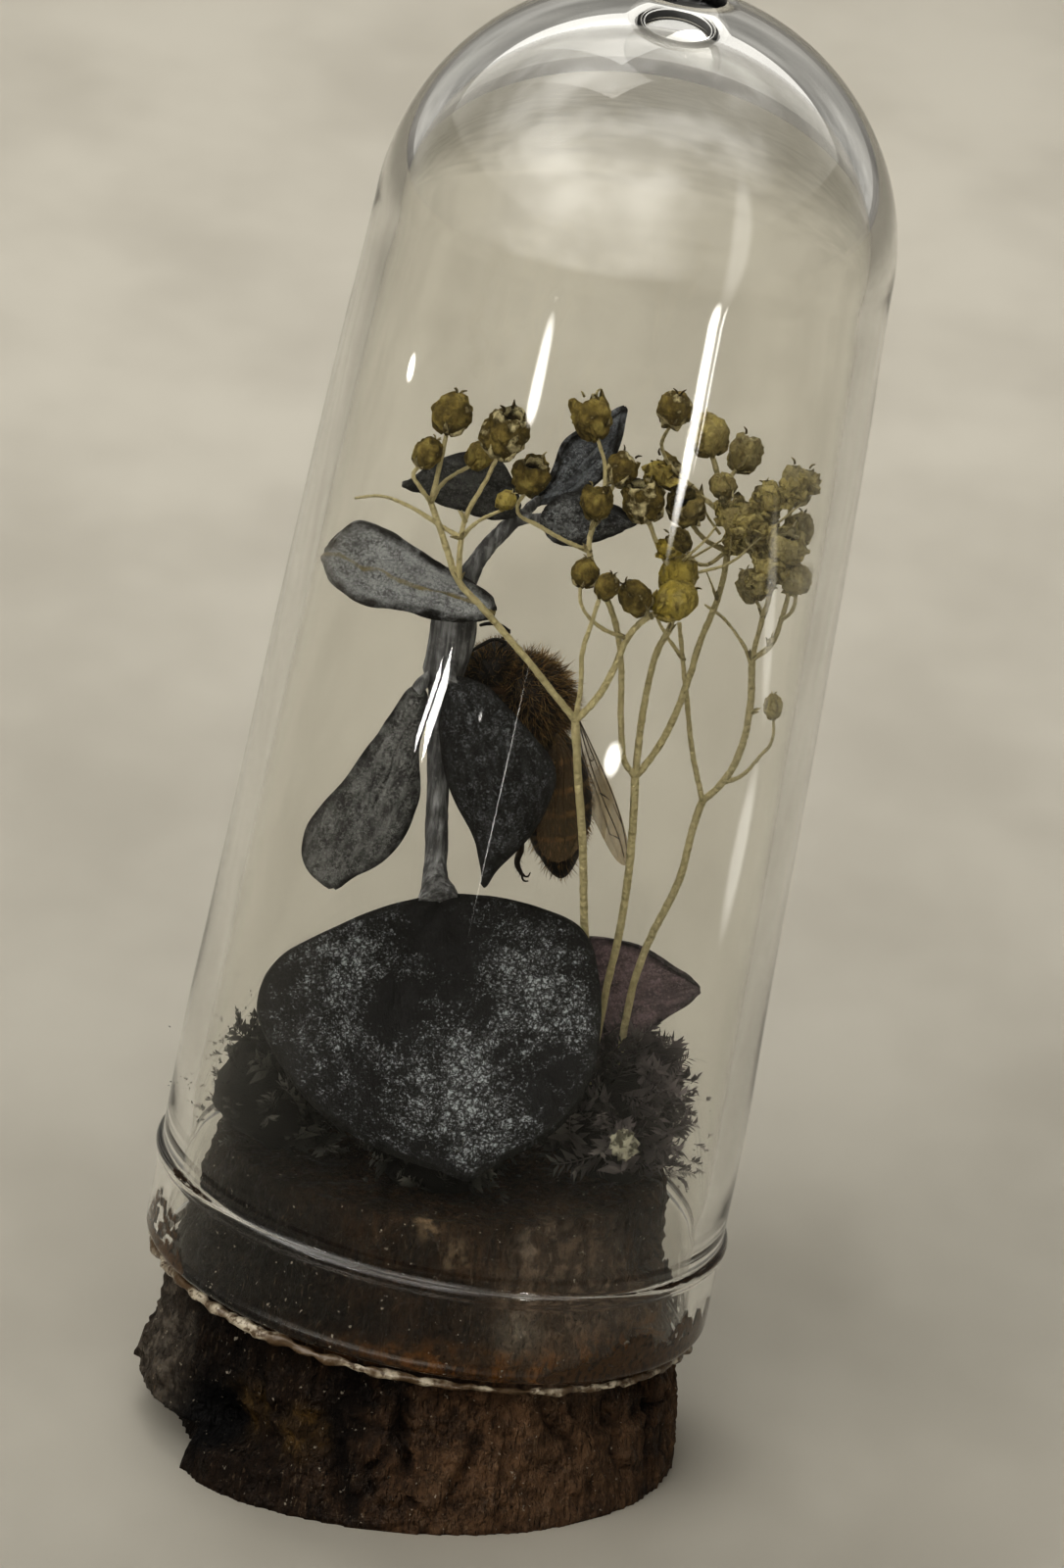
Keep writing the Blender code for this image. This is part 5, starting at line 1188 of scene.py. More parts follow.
sprays = {
    "spray_a_stem": {"twigs": (
        ((0.2, 0.22), (8.9, -0.9, 16.9), (8.0, -2.5, 26.9), (7.3, -3.4, 30.5), (6.7, -4.5, 35.6),
         (6.0, -5.2, 40.0), (5.6, -5.5, 42.8)),)},
    "spray_a_left": {"twigs": (
        ((0.2, 0.16), (5.6, -5.5, 42.8), (5.1, -5.6, 43.4), (4.3, -5.8, 44.3), (2.9, -6.0, 45.9),
         (1.7, -6.0, 47.1), (0.2, -6.0, 48.6), (-1.1, -5.8, 49.8), (-2.0, -5.5, 51.7), (-2.9, -5.2, 53.7)),
        ((0.15, 0.12), (-2.9, -5.2, 53.7), (-2.7, -5.0, 55.3), (-2.5, -4.7, 57.4)),
        ((0.12, 0.1), (-2.9, -5.2, 53.7), (-3.5, -5.4, 54.5), (-3.9, -5.2, 55.1), (-3.6, -5.1, 55.7)),
        ((0.12, 0.1), (-2.9, -5.2, 53.7), (-2.4, -3.9, 54.5), (-1.0, -3.1, 55.4)),
        ((0.15, 0.11), (-1.1, -5.8, 49.8), (-1.2, -5.6, 52.1), (-1.1, -5.4, 53.1), (-0.3, -5.2, 55.1),
         (0.3, -5.2, 56.8)),
        ((0.15, 0.06), (-1.2, -5.6, 52.1), (-2.1, -5.2, 52.4), (-4.1, -4.2, 53.1), (-5.6, -3.4, 53.2),
         (-6.8, -3.0, 52.8)),
        ((0.12, 0.09), (-1.2, -5.6, 52.1), (-0.5, -5.9, 53.1), (0.7, -6.5, 54.1)),
        ((0.1, 0.03), (-1.1, -5.5, 53.0), (-1.5, -5.6, 53.6))),
        "pods": ((-2.3, -4.4, 58.4, 2.05, "closed", 0.62), (-3.3, -5.0, 56.3, 1.55, "closed", 0.66),
                 (-0.7, -3.0, 55.9, 1.5, "closed", 0.74), (0.5, -5.3, 57.9, 2.5, "ragged", 0.55),
                 (0.9, -6.6, 54.7, 1.1, "closed", 0.85))},
    "spray_a_right": {"twigs": (
        ((0.19, 0.16), (5.6, -5.5, 42.8), (6.5, -5.2, 43.9), (7.3, -4.8, 45.6), (7.9, -4.4, 47.4),
         (8.7, -4.0, 48.3), (9.6, -3.6, 48.8)),
        ((0.15, 0.11), (5.6, -5.5, 42.8), (5.7, -5.5, 44.6), (5.6, -5.6, 46.7), (5.8, -5.6, 47.8),
         (6.2, -5.7, 49.8)),
        ((0.11, 0.09), (7.8, -4.4, 47.2), (6.3, -4.6, 47.8), (5.3, -4.8, 48.9), (5.1, -4.8, 50.0)),
        ((0.12, 0.1), (8.9, -3.9, 48.4), (8.3, -4.1, 48.9))),
        "pods": ((6.5, -5.8, 50.4, 1.35, "closed", 0.6), (5.3, -4.8, 50.7, 1.45, "closed", 0.62),
                 (10.1, -3.5, 49.3, 2.25, "closed", 0.98), (8.0, -4.1, 49.4, 1.8, "closed", 0.6))},
    "spray_b_stem": {"twigs": (
        ((0.2, 0.22), (8.3, 0.8, 16.9), (8.8, -1.0, 26.5), (9.2, -1.0, 30.3), (9.3, -1.0, 34.7),
         (9.1, -1.0, 38.6)),)},
    "spray_b_left": {"twigs": (
        ((0.17, 0.15), (9.1, -1.0, 38.6), (8.5, -1.4, 39.4), (8.1, -1.8, 41.2), (7.6, -2.4, 45.7),
         (7.0, -2.8, 47.9), (6.1, -3.0, 49.7), (5.4, -3.0, 51.3), (5.5, -3.0, 53.3)),
        ((0.12, 0.1), (5.4, -3.0, 51.3), (3.9, -2.6, 51.7), (2.7, -2.4, 52.2), (1.5, -2.6, 52.9),
         (1.9, -3.2, 54.4)),
        ((0.12, 0.1), (5.4, -3.0, 52.6), (5.9, -2.7, 53.9), (6.4, -1.8, 54.9)),
        ((0.12, 0.1), (5.9, -2.7, 53.9), (5.7, -1.6, 55.8), (5.1, -0.9, 57.0))),
        "pods": ((5.5, -3.0, 54.1, 1.85, "open", 0.66), (2.0, -3.4, 55.2, 2.0, "ragged", 0.66),
                 (6.6, -1.5, 55.5, 1.75, "open", 0.55), (4.8, -0.6, 57.9, 2.2, "crown", 0.68))},
    "spray_b_middle": {"twigs": (
        ((0.19, 0.17), (9.1, -1.0, 38.6), (9.1, -0.8, 41.0), (9.2, -0.8, 43.0), (9.5, -1.2, 45.6),
         (10.0, -1.5, 47.0)),
        ((0.16, 0.12), (10.0, -1.5, 47.0), (10.2, -1.6, 48.0), (10.2, -1.4, 49.8), (9.4, -1.5, 50.8),
         (8.9, -1.8, 51.7), (8.2, -2.1, 53.3))),
        "pods": ((10.2, -1.0, 49.9, 2.1, "closed", 0.92), (7.9, -2.2, 54.2, 2.3, "ragged", 0.56)),
        "florets": ((8.6, -1.6, 55.3, 1.9, 0.72), (9.4, -1.9, 51.4, 1.3, 0.88))},
    "spray_b_right": {"twigs": (
        ((0.19, 0.15), (9.1, -1.0, 38.6), (9.6, -0.6, 39.2), (10.5, 0.0, 40.8), (11.4, 0.6, 43.8),
         (11.8, 1.0, 45.8), (12.3, 1.3, 47.4), (12.6, 1.4, 48.8), (12.7, 1.5, 50.7), (12.5, 1.4, 52.6),
         (12.1, 1.2, 54.0), (11.2, 0.9, 56.3)),
        ((0.14, 0.11), (12.7, 1.5, 50.7), (11.4, 0.4, 51.6), (10.4, -0.7, 52.9)),
        ((0.11, 0.09), (12.7, 1.5, 50.7), (11.4, 2.2, 49.6), (10.4, 2.9, 50.3)),
        ((0.14, 0.11), (12.5, 1.4, 52.6), (10.7, 2.6, 53.4), (9.5, 3.0, 53.8)),
        ((0.11, 0.09), (11.0, 2.6, 53.3), (8.7, 2.2, 55.6), (9.0, 1.2, 57.5)),
        ((0.14, 0.11), (12.3, 1.3, 53.4), (12.5, 3.0, 54.3), (13.0, 3.8, 54.8)),
        ((0.11, 0.09), (12.3, 1.3, 53.4), (12.1, -0.3, 54.4)),
        ((0.14, 0.11), (12.7, 1.5, 50.7), (13.4, 3.0, 51.2), (13.7, 4.2, 51.3)),
        ((0.09, 0.03), (12.4, 1.3, 48.2), (11.7, 1.3, 49.6))),
        "pods": ((11.0, 0.8, 57.2, 2.2, "closed", 0.72), (10.2, -1.0, 53.7, 2.1, "open", 0.6),
                 (10.1, 3.0, 50.6, 1.4, "open", 0.66), (9.1, 3.1, 54.2, 1.8, "crown", 0.58),
                 (9.1, 1.0, 58.3, 2.0, "closed", 0.56), (13.2, 4.0, 55.4, 1.95, "ragged", 0.62),
                 (12.0, -0.6, 54.9, 1.5, "closed", 0.66), (14.0, 4.6, 51.4, 1.8, "closed", 0.62))},
    "spray_c_stem": {"twigs": (
        ((0.2, 0.21), (10.0, -0.4, 16.9), (10.2, 0.5, 26.0), (10.8, 1.0, 28.7), (12.1, 1.0, 32.5),
         (12.6, 1.4, 35.6), (12.9, 1.5, 36.8)),)},
    "spray_c_left": {"twigs": (
        ((0.16, 0.12), (12.9, 1.5, 36.8), (12.6, 1.5, 37.7), (12.0, 1.4, 39.7), (11.4, 1.2, 42.6),
         (11.0, 2.0, 44.4), (10.6, 2.2, 46.3)),
        ((0.11, 0.06), (11.0, 2.0, 44.4), (10.0, 2.6, 45.4), (9.2, 3.0, 46.6), (8.9, 2.8, 47.6)))},
    "spray_c_right": {"twigs": (
        ((0.19, 0.2), (12.9, 1.5, 36.8), (13.8, 1.6, 37.8), (14.6, 1.5, 39.6), (14.9, 1.3, 42.3),
         (14.7, 1.2, 45.0)),
        ((0.15, 0.12), (14.7, 1.2, 45.0), (15.0, 1.0, 47.5), (15.2, 0.9, 48.8), (14.8, 1.2, 50.0),
         (14.6, 1.0, 51.0)),
        ((0.15, 0.12), (14.7, 1.2, 45.0), (15.6, 0.4, 46.2), (15.9, -0.3, 47.8), (16.1, -0.6, 49.3),
         (16.2, -0.4, 51.2), (15.7, -0.2, 53.8), (16.0, 0.1, 54.5)),
        ((0.11, 0.06), (14.7, 1.2, 45.0), (13.9, 1.8, 45.9), (12.9, 3.0, 46.6), (11.9, 3.6, 47.0)),
        ((0.12, 0.09), (13.9, 1.6, 37.9), (14.8, 1.4, 38.4), (15.8, 1.2, 39.7), (16.4, 1.0, 40.7),
         (16.3, 1.0, 42.0)),
        ((0.14, 0.11), (15.2, 0.9, 48.8), (14.9, 2.4, 49.8), (15.2, 3.5, 50.8), (14.8, 3.6, 52.3)),
        ((0.11, 0.09), (15.2, 0.9, 48.8), (15.2, -1.6, 50.2), (15.4, -3.2, 52.3)),
        ((0.11, 0.09), (15.0, 1.0, 47.5), (14.8, 2.2, 47.7), (14.5, 2.7, 48.0)),
        ((0.11, 0.09), (15.9, -0.3, 47.8), (16.3, -1.8, 49.0), (16.3, -2.4, 50.3)),
        ((0.11, 0.09), (15.2, -1.6, 50.2), (14.0, -2.0, 51.9), (13.0, -2.2, 53.1)),
        ((0.11, 0.09), (14.9, 2.4, 49.8), (15.5, 3.2, 49.5)),
        ((0.11, 0.09), (16.2, -0.4, 51.2), (16.5, 0.3, 52.1)),
        ((0.12, 0.02), (14.75, 1.2, 44.6), (14.2, 1.0, 45.6)),
        ((0.12, 0.02), (15.5, 0.5, 46.1), (15.6, 0.2, 47.0)),
        ((0.1, 0.02), (14.9, 1.3, 42.0), (15.5, 1.1, 42.4))),
        "pods": ((16.2, 1.0, 42.6, 1.25, "closed", 0.8), (14.3, 3.0, 48.5, 1.7, "closed", 0.68),
                 (14.6, 1.0, 51.7, 2.0, "crown", 0.66), (14.7, 3.6, 53.0, 1.9, "closed", 0.64),
                 (12.8, -2.2, 53.8, 1.9, "crown", 0.76), (16.5, 0.5, 52.7, 1.6, "closed", 0.62),
                 (16.0, 0.2, 55.2, 2.0, "ragged", 0.62), (15.4, -3.4, 53.0, 1.9, "ragged", 0.8),
                 (16.2, -2.5, 50.9, 1.6, "closed", 0.66), (15.9, 3.4, 49.4, 1.5, "closed", 0.6)),
        "florets": ((12.4, -1.2, 53.5, 1.8, 0.8), (13.3, -2.6, 53.6, 2.1, 0.84),
                    (14.1, -1.6, 54.0, 2.0, 0.82), (14.7, -2.2, 55.0, 1.9, 0.9),
                    (15.6, -2.6, 55.6, 1.7, 0.98), (14.2, -0.8, 52.1, 2.1, 0.8),
                    (15.2, -2.4, 53.0, 2.2, 0.86), (13.1, 0.4, 51.4, 1.6, 0.76),
                    (14.7, -2.8, 51.3, 2.1, 0.98), (15.7, -3.0, 52.4, 1.8, 0.88),
                    (15.8, -1.8, 50.6, 1.8, 0.86), (16.3, -0.6, 49.7, 1.3, 0.84),
                    (14.4, -1.0, 49.9, 1.8, 0.82), (16.4, -1.6, 55.8, 1.5, 0.8)),
        "strands": (((11.2, -2.0, 50.5), (12.7, -2.4, 51.3), (14.1, -2.6, 52.9), (16.1, -2.8, 55.2)),
                    ((10.3, -1.6, 50.9), (11.5, -1.4, 52.3), (12.1, -1.2, 53.4)),
                    ((10.4, -1.2, 50.7), (11.4, -1.0, 51.4), (12.5, -0.8, 52.2)),
                    ((12.1, -0.6, 54.6), (12.7, -0.4, 52.6), (12.8, 0.2, 50.5)),
                    ((12.2, 0.9, 51.8), (11.3, 1.0, 52.9), (11.0, 1.0, 53.7)))},
}


# each kind of pod: how rough it is, how far its teeth stand out and where its mouth begins
podKinds = {"closed": (0.085, 0.0, 0.3), "ragged": (0.13, 0.14, 0.3), "open": (0.1, 0.2, 0.22),
            "crown": (0.14, 0.34, 0.22)}


def podShape(kind, seed):
    # one pod a millimetre wide, standing on its stalk, its mouth up
    pod = addBall(28, 18, 0.5 * mm)
    isOpen = kind != "closed"
    if isOpen:
        editFaces(pod, lambda middle: middle.z > (0.4 if kind == "ragged" else 0.3) * mm)
        bpy.ops.mesh.inset(thickness=0.035 * mm)
        bpy.ops.transform.translate(value=(0, 0, -0.42 * mm))
        bpy.ops.object.mode_set(mode="OBJECT")
    rough, flare, mouth = podKinds[kind]
    start = Vector((seed * 7.1, seed * 3.3, seed))

    def shape(place, normal):
        turn = math.atan2(place.y, place.x)
        narrow = -0.26 * max(0.0, -place.z - 0.12)  # narrows to the stalk
        seams = -0.045 * abs(math.cos(2.5 * turn + seed)) ** 6
        wrinkle = rough * noise.fractal(place * 5.5 + start, 0.8, 2.0, 4)
        move = Vector((place.x, place.y, 0.0)) * narrow + place * (seams + wrinkle) * 1.6
        if flare and place.z > mouth and math.hypot(place.x, place.y) > 0.16:
            uneven = 0.7 + 0.6 * noise.noise(start + place * 3)
            tooth = max(0.0, math.cos(2.5 * turn + seed)) ** 1.4 * uneven
            move += Vector((0.2 * place.x, 0.2 * place.y, 0.9)) * flare * tooth
        return move

    # the hollow inside an open pod gets a near-black tone: painted shade in its mouth
    inner = [isOpen and vertex.co.xy.length < 0.33 * mm and -0.35 * mm < vertex.co.z < 0.2 * mm
             for vertex in pod.data.vertices]
    shiftPoints(pod, shape)
    setTone(pod, lambda place: 0.16 * noise.fractal(place * 3.0 + start, 0.9, 2.0, 3)
            - (1.5 * max(0.0, place.z - 0.38) if isOpen else 0.0))
    for item, dark in zip(pod.data.attributes["tone"].data, inner):
        if dark:
            item.value = -0.75

    def tip(aim, radii, steps):
        # a small point whose steps go out along aim and up
        return radii, [aim * out + Vector((0, 0, up)) for out, up in steps]

    def ray(turn):
        return Vector((math.cos(seed + turn), math.sin(seed + turn), 0.0))

    base, top = (0.25, 0.44) if isOpen else (0.05, 0.46)
    styles = ((base, top), (base + 0.05, top + 0.09), (base + 0.16, top + 0.13))
    sepals = ((0.1, -0.5), (0.34, -0.38), (0.47, -0.18))  # they clasp the base
    tips = [tip(ray(2.1 * k), (0.035, 0.03, 0.012), styles) for k in range(2 if isOpen else 3)]
    tips += [tip(ray(1.257 * k), (0.06, 0.075, 0.01), sepals) for k in range(5)]
    points = drawBranches(tips, 0, 2)
    setTone(points, lambda place: -0.45 if place.z > 0.2 else -0.12)
    return joinPieces([pod, points], "pod " + kind)


def floretShape(seed):
    # a shrivelled floret a millimetre wide: six crumpled petals round its heart
    petals = []
    for k in range(6):
        turn = 1.047 * k + 0.5 * math.sin(seed + k)
        rise = 0.5 + 0.5 * math.sin(2.1 * k + seed)
        petal = addBall(14, 9, 0.5 * mm)
        petal.scale = (0.5, 0.7, 0.16)
        petal.rotation_euler = (0.35 + 0.9 * rise, 0.3 * math.sin(3.3 * k), turn)
        petal.location = Vector((-math.sin(turn), math.cos(turn), rise - 0.5)) * 0.22 * mm
        applyPlace(petal)
        start = Vector((seed, seed * 2.3, k * 1.7))
        shiftPoints(petal, lambda place, normal: noise.noise_vector(place * 4.4 + start) * 0.26)
        faceOut(petal)
        petals.append(petal)
    return joinPieces(petals, "floret")


def growSpray(name, spray):
    rand = random.Random(name)
    branches = [(radii, points) for radii, *points in spray["twigs"]]
    bracts = []
    for radii, points in branches[1:]:  # a small dry bract sits at each fork
        root, ahead = Vector(points[0]), (Vector(points[1]) - Vector(points[0])).normalized()
        for k in range(2):
            aside = Vector((rand.uniform(-1, 1), rand.uniform(-1, 1), rand.uniform(-0.3, 0.6)))
            aim = (ahead + aside * 0.8).normalized()
            bracts.append(((0.13, 0.1, 0.02), (root - ahead * 0.1, root + aim * 0.28, root + aim * 0.6)))
    twigs = drawBranches(branches, 3, 5)
    setTone(twigs, lambda place: 0.31 + 0.10 * noise.noise(place * 0.8))
    barkOn(twigs, 5.0, 0.03)
    parts = [twigs]

    def addThin(lines, rings, steps, tone):
        thin = drawBranches(lines, rings, steps)
        setTone(thin, tone)
        parts.append(thin)

    if bracts:
        addThin(bracts, 1, 3, 0.2)
    ends = [(Vector(points[-1]), Vector(points[-1]) - Vector(points[-2])) for radii, points in branches]
    for x, y, z, width, kind, tone in spray.get("pods", ()):
        place = Vector((x, y, z))
        end, growing = min(ends, key=lambda pair: (pair[0] - place).length)
        ahead = (place - end).normalized() * 0.6 + growing.normalized() * 0.5
        pod = podShape(kind, rand.uniform(0, 9))
        for item in pod.data.attributes["tone"].data:
            item.value += tone
        pod.scale = (width * rand.uniform(0.95, 1.03), width * rand.uniform(0.92, 1.0), width * 1.08)
        pod.rotation_euler = turnTo(ahead).to_euler()
        pod.location = place * mm
        applyPlace(pod)
        parts.append(pod)
    if "strands" in spray:
        addThin([((0.085, 0.05), points) for points in spray["strands"]], 2, 4, 0.29)
    for x, y, z, width, tone in spray.get("florets", ()):
        place = Vector((x, y, z))
        root = min((vertex.co / mm for vertex in twigs.data.vertices), key=lambda spot: (spot - place).length)
        addThin([((0.1, 0.08), (root, (root + place) / 2 + Vector((0, 0, -0.12)), place))], 1, 3, 0.3)
        floret = floretShape(rand.uniform(0, 9))
        setTone(floret, lambda spot: tone + 0.08 + 0.24 * noise.noise(spot * 6.0))
        floret.scale = (width, width, width)
        floret.location = place * mm
        applyPlace(floret)
        parts.append(floret)
    return joinPieces(parts, name)


# tones below 0.4 are dark hollows, where shade is painted inside the open pods, and pale twigs; those above
# are pods
sprayColours = {
    "tones": ((0.0, (0.012, 0.009, 0.004)), (0.14, (0.10, 0.07, 0.025)), (0.24, (0.60, 0.53, 0.31)),
              (0.42, (0.76, 0.68, 0.43)), (0.50, (0.12, 0.09, 0.028)), (0.66, (0.31, 0.24, 0.075)),
              (0.82, (0.50, 0.415, 0.15)), (1.0, (0.54, 0.43, 0.085))),
    "faded": (0.66, 0.59, 0.36), "lines": (0.13, 0.092, 0.03)}


def sprayFinish():
    material, tree, shader, places = newFinish("oliveSpray", 0.72)
    tone = toneOf(tree)
    onPods = remap(tree, tone, 0.40, 0.46)
    blotch = mathOf(tree, "SUBTRACT", mottling(tree, places, 1.4, 0.32, 0.7, 7.0), 0.5)
    shift = times(tree, blotch, plus(tree, times(tree, onPods, 0.16), 0.05))
    colour = rampOf(tree, plus(tree, tone, shift), sprayColours["tones"])
    faded = remap(tree, axisOf(tree, places, "X"), 9.0, 13.5, 0.0, 0.55)
    colour = blendOf(tree, times(tree, faded, onPods), colour, sprayColours["faded"])
    lines = mottling(tree, stretched(tree, places, (3.4, 3.4, 1.1)), 1.0, 0.46, 0.72, 7.0)
    lines = times(tree, lines, plus(tree, times(tree, onPods, 0.5), 0.1))
    colour = blendOf(tree, lines, colour, sprayColours["lines"])
    shader.inputs["Specular IOR Level"].default_value = 0.3
    connect(tree, shader, Base_Color=colour, Normal=relief(tree, places, 3.0, 0.4, 7.0))
    return material


oliveSpray = sprayFinish()
for sprayName, spray in sprays.items():
    finishPiece(growSpray(sprayName, spray), "dry_" + sprayName, oliveSpray, [sprayName])
print("sprays done")


# Moss: each clump is a shrunken core under many small feathery fronds

moss = {
    "moss_left": {"middle": (-7.9, -0.6, 16.9), "core": 0.84, "dense": 1.7,
                  "comb": (-0.3, -0.4, 0.6), "seed": 41},
    "moss_middle": {"middle": (0.9, -3.2, 16.9), "core": 0.84, "dense": 2.0,
                    "comb": (0.0, -0.8, 0.3), "seed": 51},
    "moss_right": {"middle": (9.9, 0.2, 16.9), "core": 0.72, "dense": 1.7,
                   "comb": (0.5, -0.3, 0.5), "seed": 61},
}
# fronds: their sizes and spread, how far from the axis they may reach, the length, pairs of leaves and
# bend of each kind, and the corners of one leaf
frond = {"sizes": (0.45, 1.1), "spread": 2.0, "insideGlass": 13.25,
         "kinds": ((3.4, 8, 1.5), (2.6, 7, -1.6), (1.9, 6, 1.2), (3.0, 8, 0.3)),
         "leaflet": ((0, 0, 0), (0.4, -0.26, 0.2), (0.4, 0.26, 0.3), (1.15, 0, 0.55))}
mossColours = {
    "tones": ((0.08, (0.005, 0.005, 0.004)), (0.35, (0.022, 0.022, 0.019)), (0.65, (0.085, 0.083, 0.073)),
              (1.0, (0.21, 0.205, 0.185))),
    "purple": (0.21, 0.175, 0.185)}


def makeFrond(length, pairs, bend, name):
    # a bent stalk with pairs of small pointed leaves, like a feather
    def spine(share):
        return Vector((bend * share ** 2, 0.25 * math.sin(3 * share), length * share * (1 - 0.12 * share)))

    parts = [drawBranches([((0.07, 0.05, 0.02), [spine(k / 4) for k in range(5)])], 0, 2)]
    for k in range(pairs):
        share = 0.12 + 0.86 * k / pairs
        reach = (1.15 - 0.7 * share) * (0.7 + 0.6 * ((k * 7) % 5) / 5)
        for side in (-1, 1):
            bpy.ops.mesh.primitive_plane_add(size=mm)
            leaflet = bpy.context.object
            turned = 0.5 * math.sin(2.3 * k + side)
            for vertex, (along, wide, up) in zip(leaflet.data.vertices, frond["leaflet"]):
                swing = Vector((turned * along, side * along, up + 0.35 * along)) * reach
                vertex.co = (spine(share) + swing + Vector((wide * 0.9, 0, wide * 0.5)) * reach) * mm
            parts.append(leaflet)
    return joinPieces(parts, name)


def growMoss(name, clump):
    core = fromNode(name)
    middle = Vector(clump["middle"])
    subdivide(core, 1)
    for vertex in core.data.vertices:
        vertex.co = (middle + (vertex.co / mm - middle) * clump["core"]) * mm
    roughen(core, 1.2, 1.3)
    setTone(core, lambda place: 1.0 if place.z > 16.95 else 0.0, "furry")
    # the core is coloured near-black, painted shade deep in the clump
    setTone(core, 0.08)
    kinds = [makeFrond(*kind, "%s frond %d" % (name, k)) for k, kind in enumerate(frond["kinds"])]
    # the fronds get darker towards their feet, painted shade inside the clump, and paler to their tips
    for kind in kinds:
        setTone(kind, lambda place: 0.2 + 0.22 * place.z)
    fronds = scatterOver(core, kinds, {**frond, **clump}, name)
    keepInside(fronds, name)
    return joinPieces([core, fronds], name)


def reachOf(place, centre, half):
    # how near a place is to the side of the clump's box or to the glass, 1 being there
    away = place - centre
    offAxis = Vector((place.x - math.tan(glassLean) * place.z, place.y)).length / (frond["insideGlass"] * mm)
    return max(abs(away.x) / half.x, abs(away.y) / half.y, abs(away.z) / half.z, offAxis)


def keepInside(fronds, name):
    # a frond that would reach too far is made smaller on its own foot, by a different amount each
    low, high = Vector(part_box(name)[0]), Vector(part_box(name)[1])
    centre, half = (low + high) / 2, (high - low) / 2
    chances = [item.value for item in fronds.data.attributes["chance"].data]
    groups = {}
    for vertex in fronds.data.vertices:
        groups.setdefault(chances[vertex.index], []).append(vertex)
    for chance, members in groups.items():
        foot = members[0].co.copy()
        start = min(0.97, reachOf(foot, centre, half))
        limit = max(0.86 + 0.14 * (chance * 7.3 % 1.0), start + 0.02)
        far = max(reachOf(vertex.co, centre, half) for vertex in members)
        if far > limit:
            share = max(0.0, (limit - start) / (far - start))
            for vertex in members:
                vertex.co = foot + (vertex.co - foot) * share


def mossFinish():
    material, tree, shader, places = newFinish("deadMoss", 0.85)
    tone = toneOf(tree)
    purple = times(tree, remap(tree, axisOf(tree, places, "X"), 5.5, 11.0), times(tree, tone, 0.8))
    colour = blendOf(tree, purple, rampOf(tree, tone, mossColours["tones"]), mossColours["purple"])
    colour = scaled(tree, colour, remap(tree, toneOf(tree, "chance"), 0.0, 1.0, 0.45, 1.55))
    shader.inputs["Specular IOR Level"].default_value = 0.25
    connect(tree, shader, Base_Color=colour)
    return material


deadMoss = mossFinish()
for mossName, clump in moss.items():
    finishPiece(growMoss(mossName, clump), "dead_" + mossName, deadMoss, [mossName])
print("moss done")


# Pale lichen flake on the moss

flake = {"pale": (0.62, 0.60, 0.48), "dark": (0.16, 0.15, 0.11)}


def makeFlake():
    lump = addBall(48, 24, mm)
    low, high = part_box("lichen_flake")
    middle = (Vector(low) + Vector(high)) / 2
    half = (Vector(high) - Vector(low)) / 2

    def crumple(place, normal):
        pits = -0.25 if noise.noise(place * 4.1) > 0.28 else 0.0
        return normal * (0.36 * noise.fractal(place * 2.4, 0.7, 2.0, 4) + pits)

    shiftPoints(lump, crumple)
    lump.scale = half / mm * 0.9
    lump.location = middle
    return lump


def flakeFinish():
    material, tree, shader, places = newFinish("paleFlake", 0.9)
    spots = mottling(tree, places, 2.6, 0.42, 0.6, 5.0)
    colour = blendOf(tree, spots, flake["pale"], flake["dark"])
    connect(tree, shader, Base_Color=colour, Normal=relief(tree, places, 5.0, 0.15, 6.0))
    return material


finishPiece(makeFlake(), "pale_flake_lump", flakeFinish(), ["lichen_flake"])
print("flake done")


# Floor, light and camera

studio = {
    "floor": (0.69, 0.66, 0.59), "darkerCloud": (0.595, 0.566, 0.503), "paintedShadow": (0.05, 0.047, 0.042),
    "floorSize": 6.0, "zenith": (0.10, 0.098, 0.092), "horizon": (0.25, 0.243, 0.225),
    "low": (0.14, 0.13, 0.12),
    "glow": (1.6, 1.57, 1.5), "glowAim": (-0.38, -0.86, 0.34), "cardGlow": (1.0, 0.985, 0.95, 1.0),
    "lampPlace": (-60, 260, 420), "lampAim": (0, 200, 0), "lampSize": 300, "lampSpread": 75,
    "lampEnergy": 0.14, "lampColour": (1.0, 0.98, 0.94)}

bpy.ops.mesh.primitive_plane_add(size=studio["floorSize"], location=(0, 0, 0))
floor = bpy.context.object
floor.name = "floor"
floorLook, floorTree, floorShader, floorPlaces = newFinish("floorLook", 0.8)
# soft darker clouds over the floor
clouds = mottling(floorTree, stretched(floorTree, floorPlaces, (1.0, 0.5, 1.0)), 0.05, 0.3, 0.72, 3.0)
# the floor in front of the dome is painted darker, a painted shadow there so that the glass reflects a darker
# floor
paintedShadow = remap(floorTree, axisOf(floorTree, floorPlaces, "Y"), -36.0, -80.0, 0.0, 0.5, smooth=True)
floorTone = blendOf(floorTree, clouds, studio["floor"], studio["darkerCloud"])
connect(floorTree, floorShader, Base_Color=blendOf(floorTree, paintedShadow, floorTone, studio["paintedShadow"]))
floorShader.inputs["Specular IOR Level"].default_value = 0.0
floor.data.materials.append(floorLook)

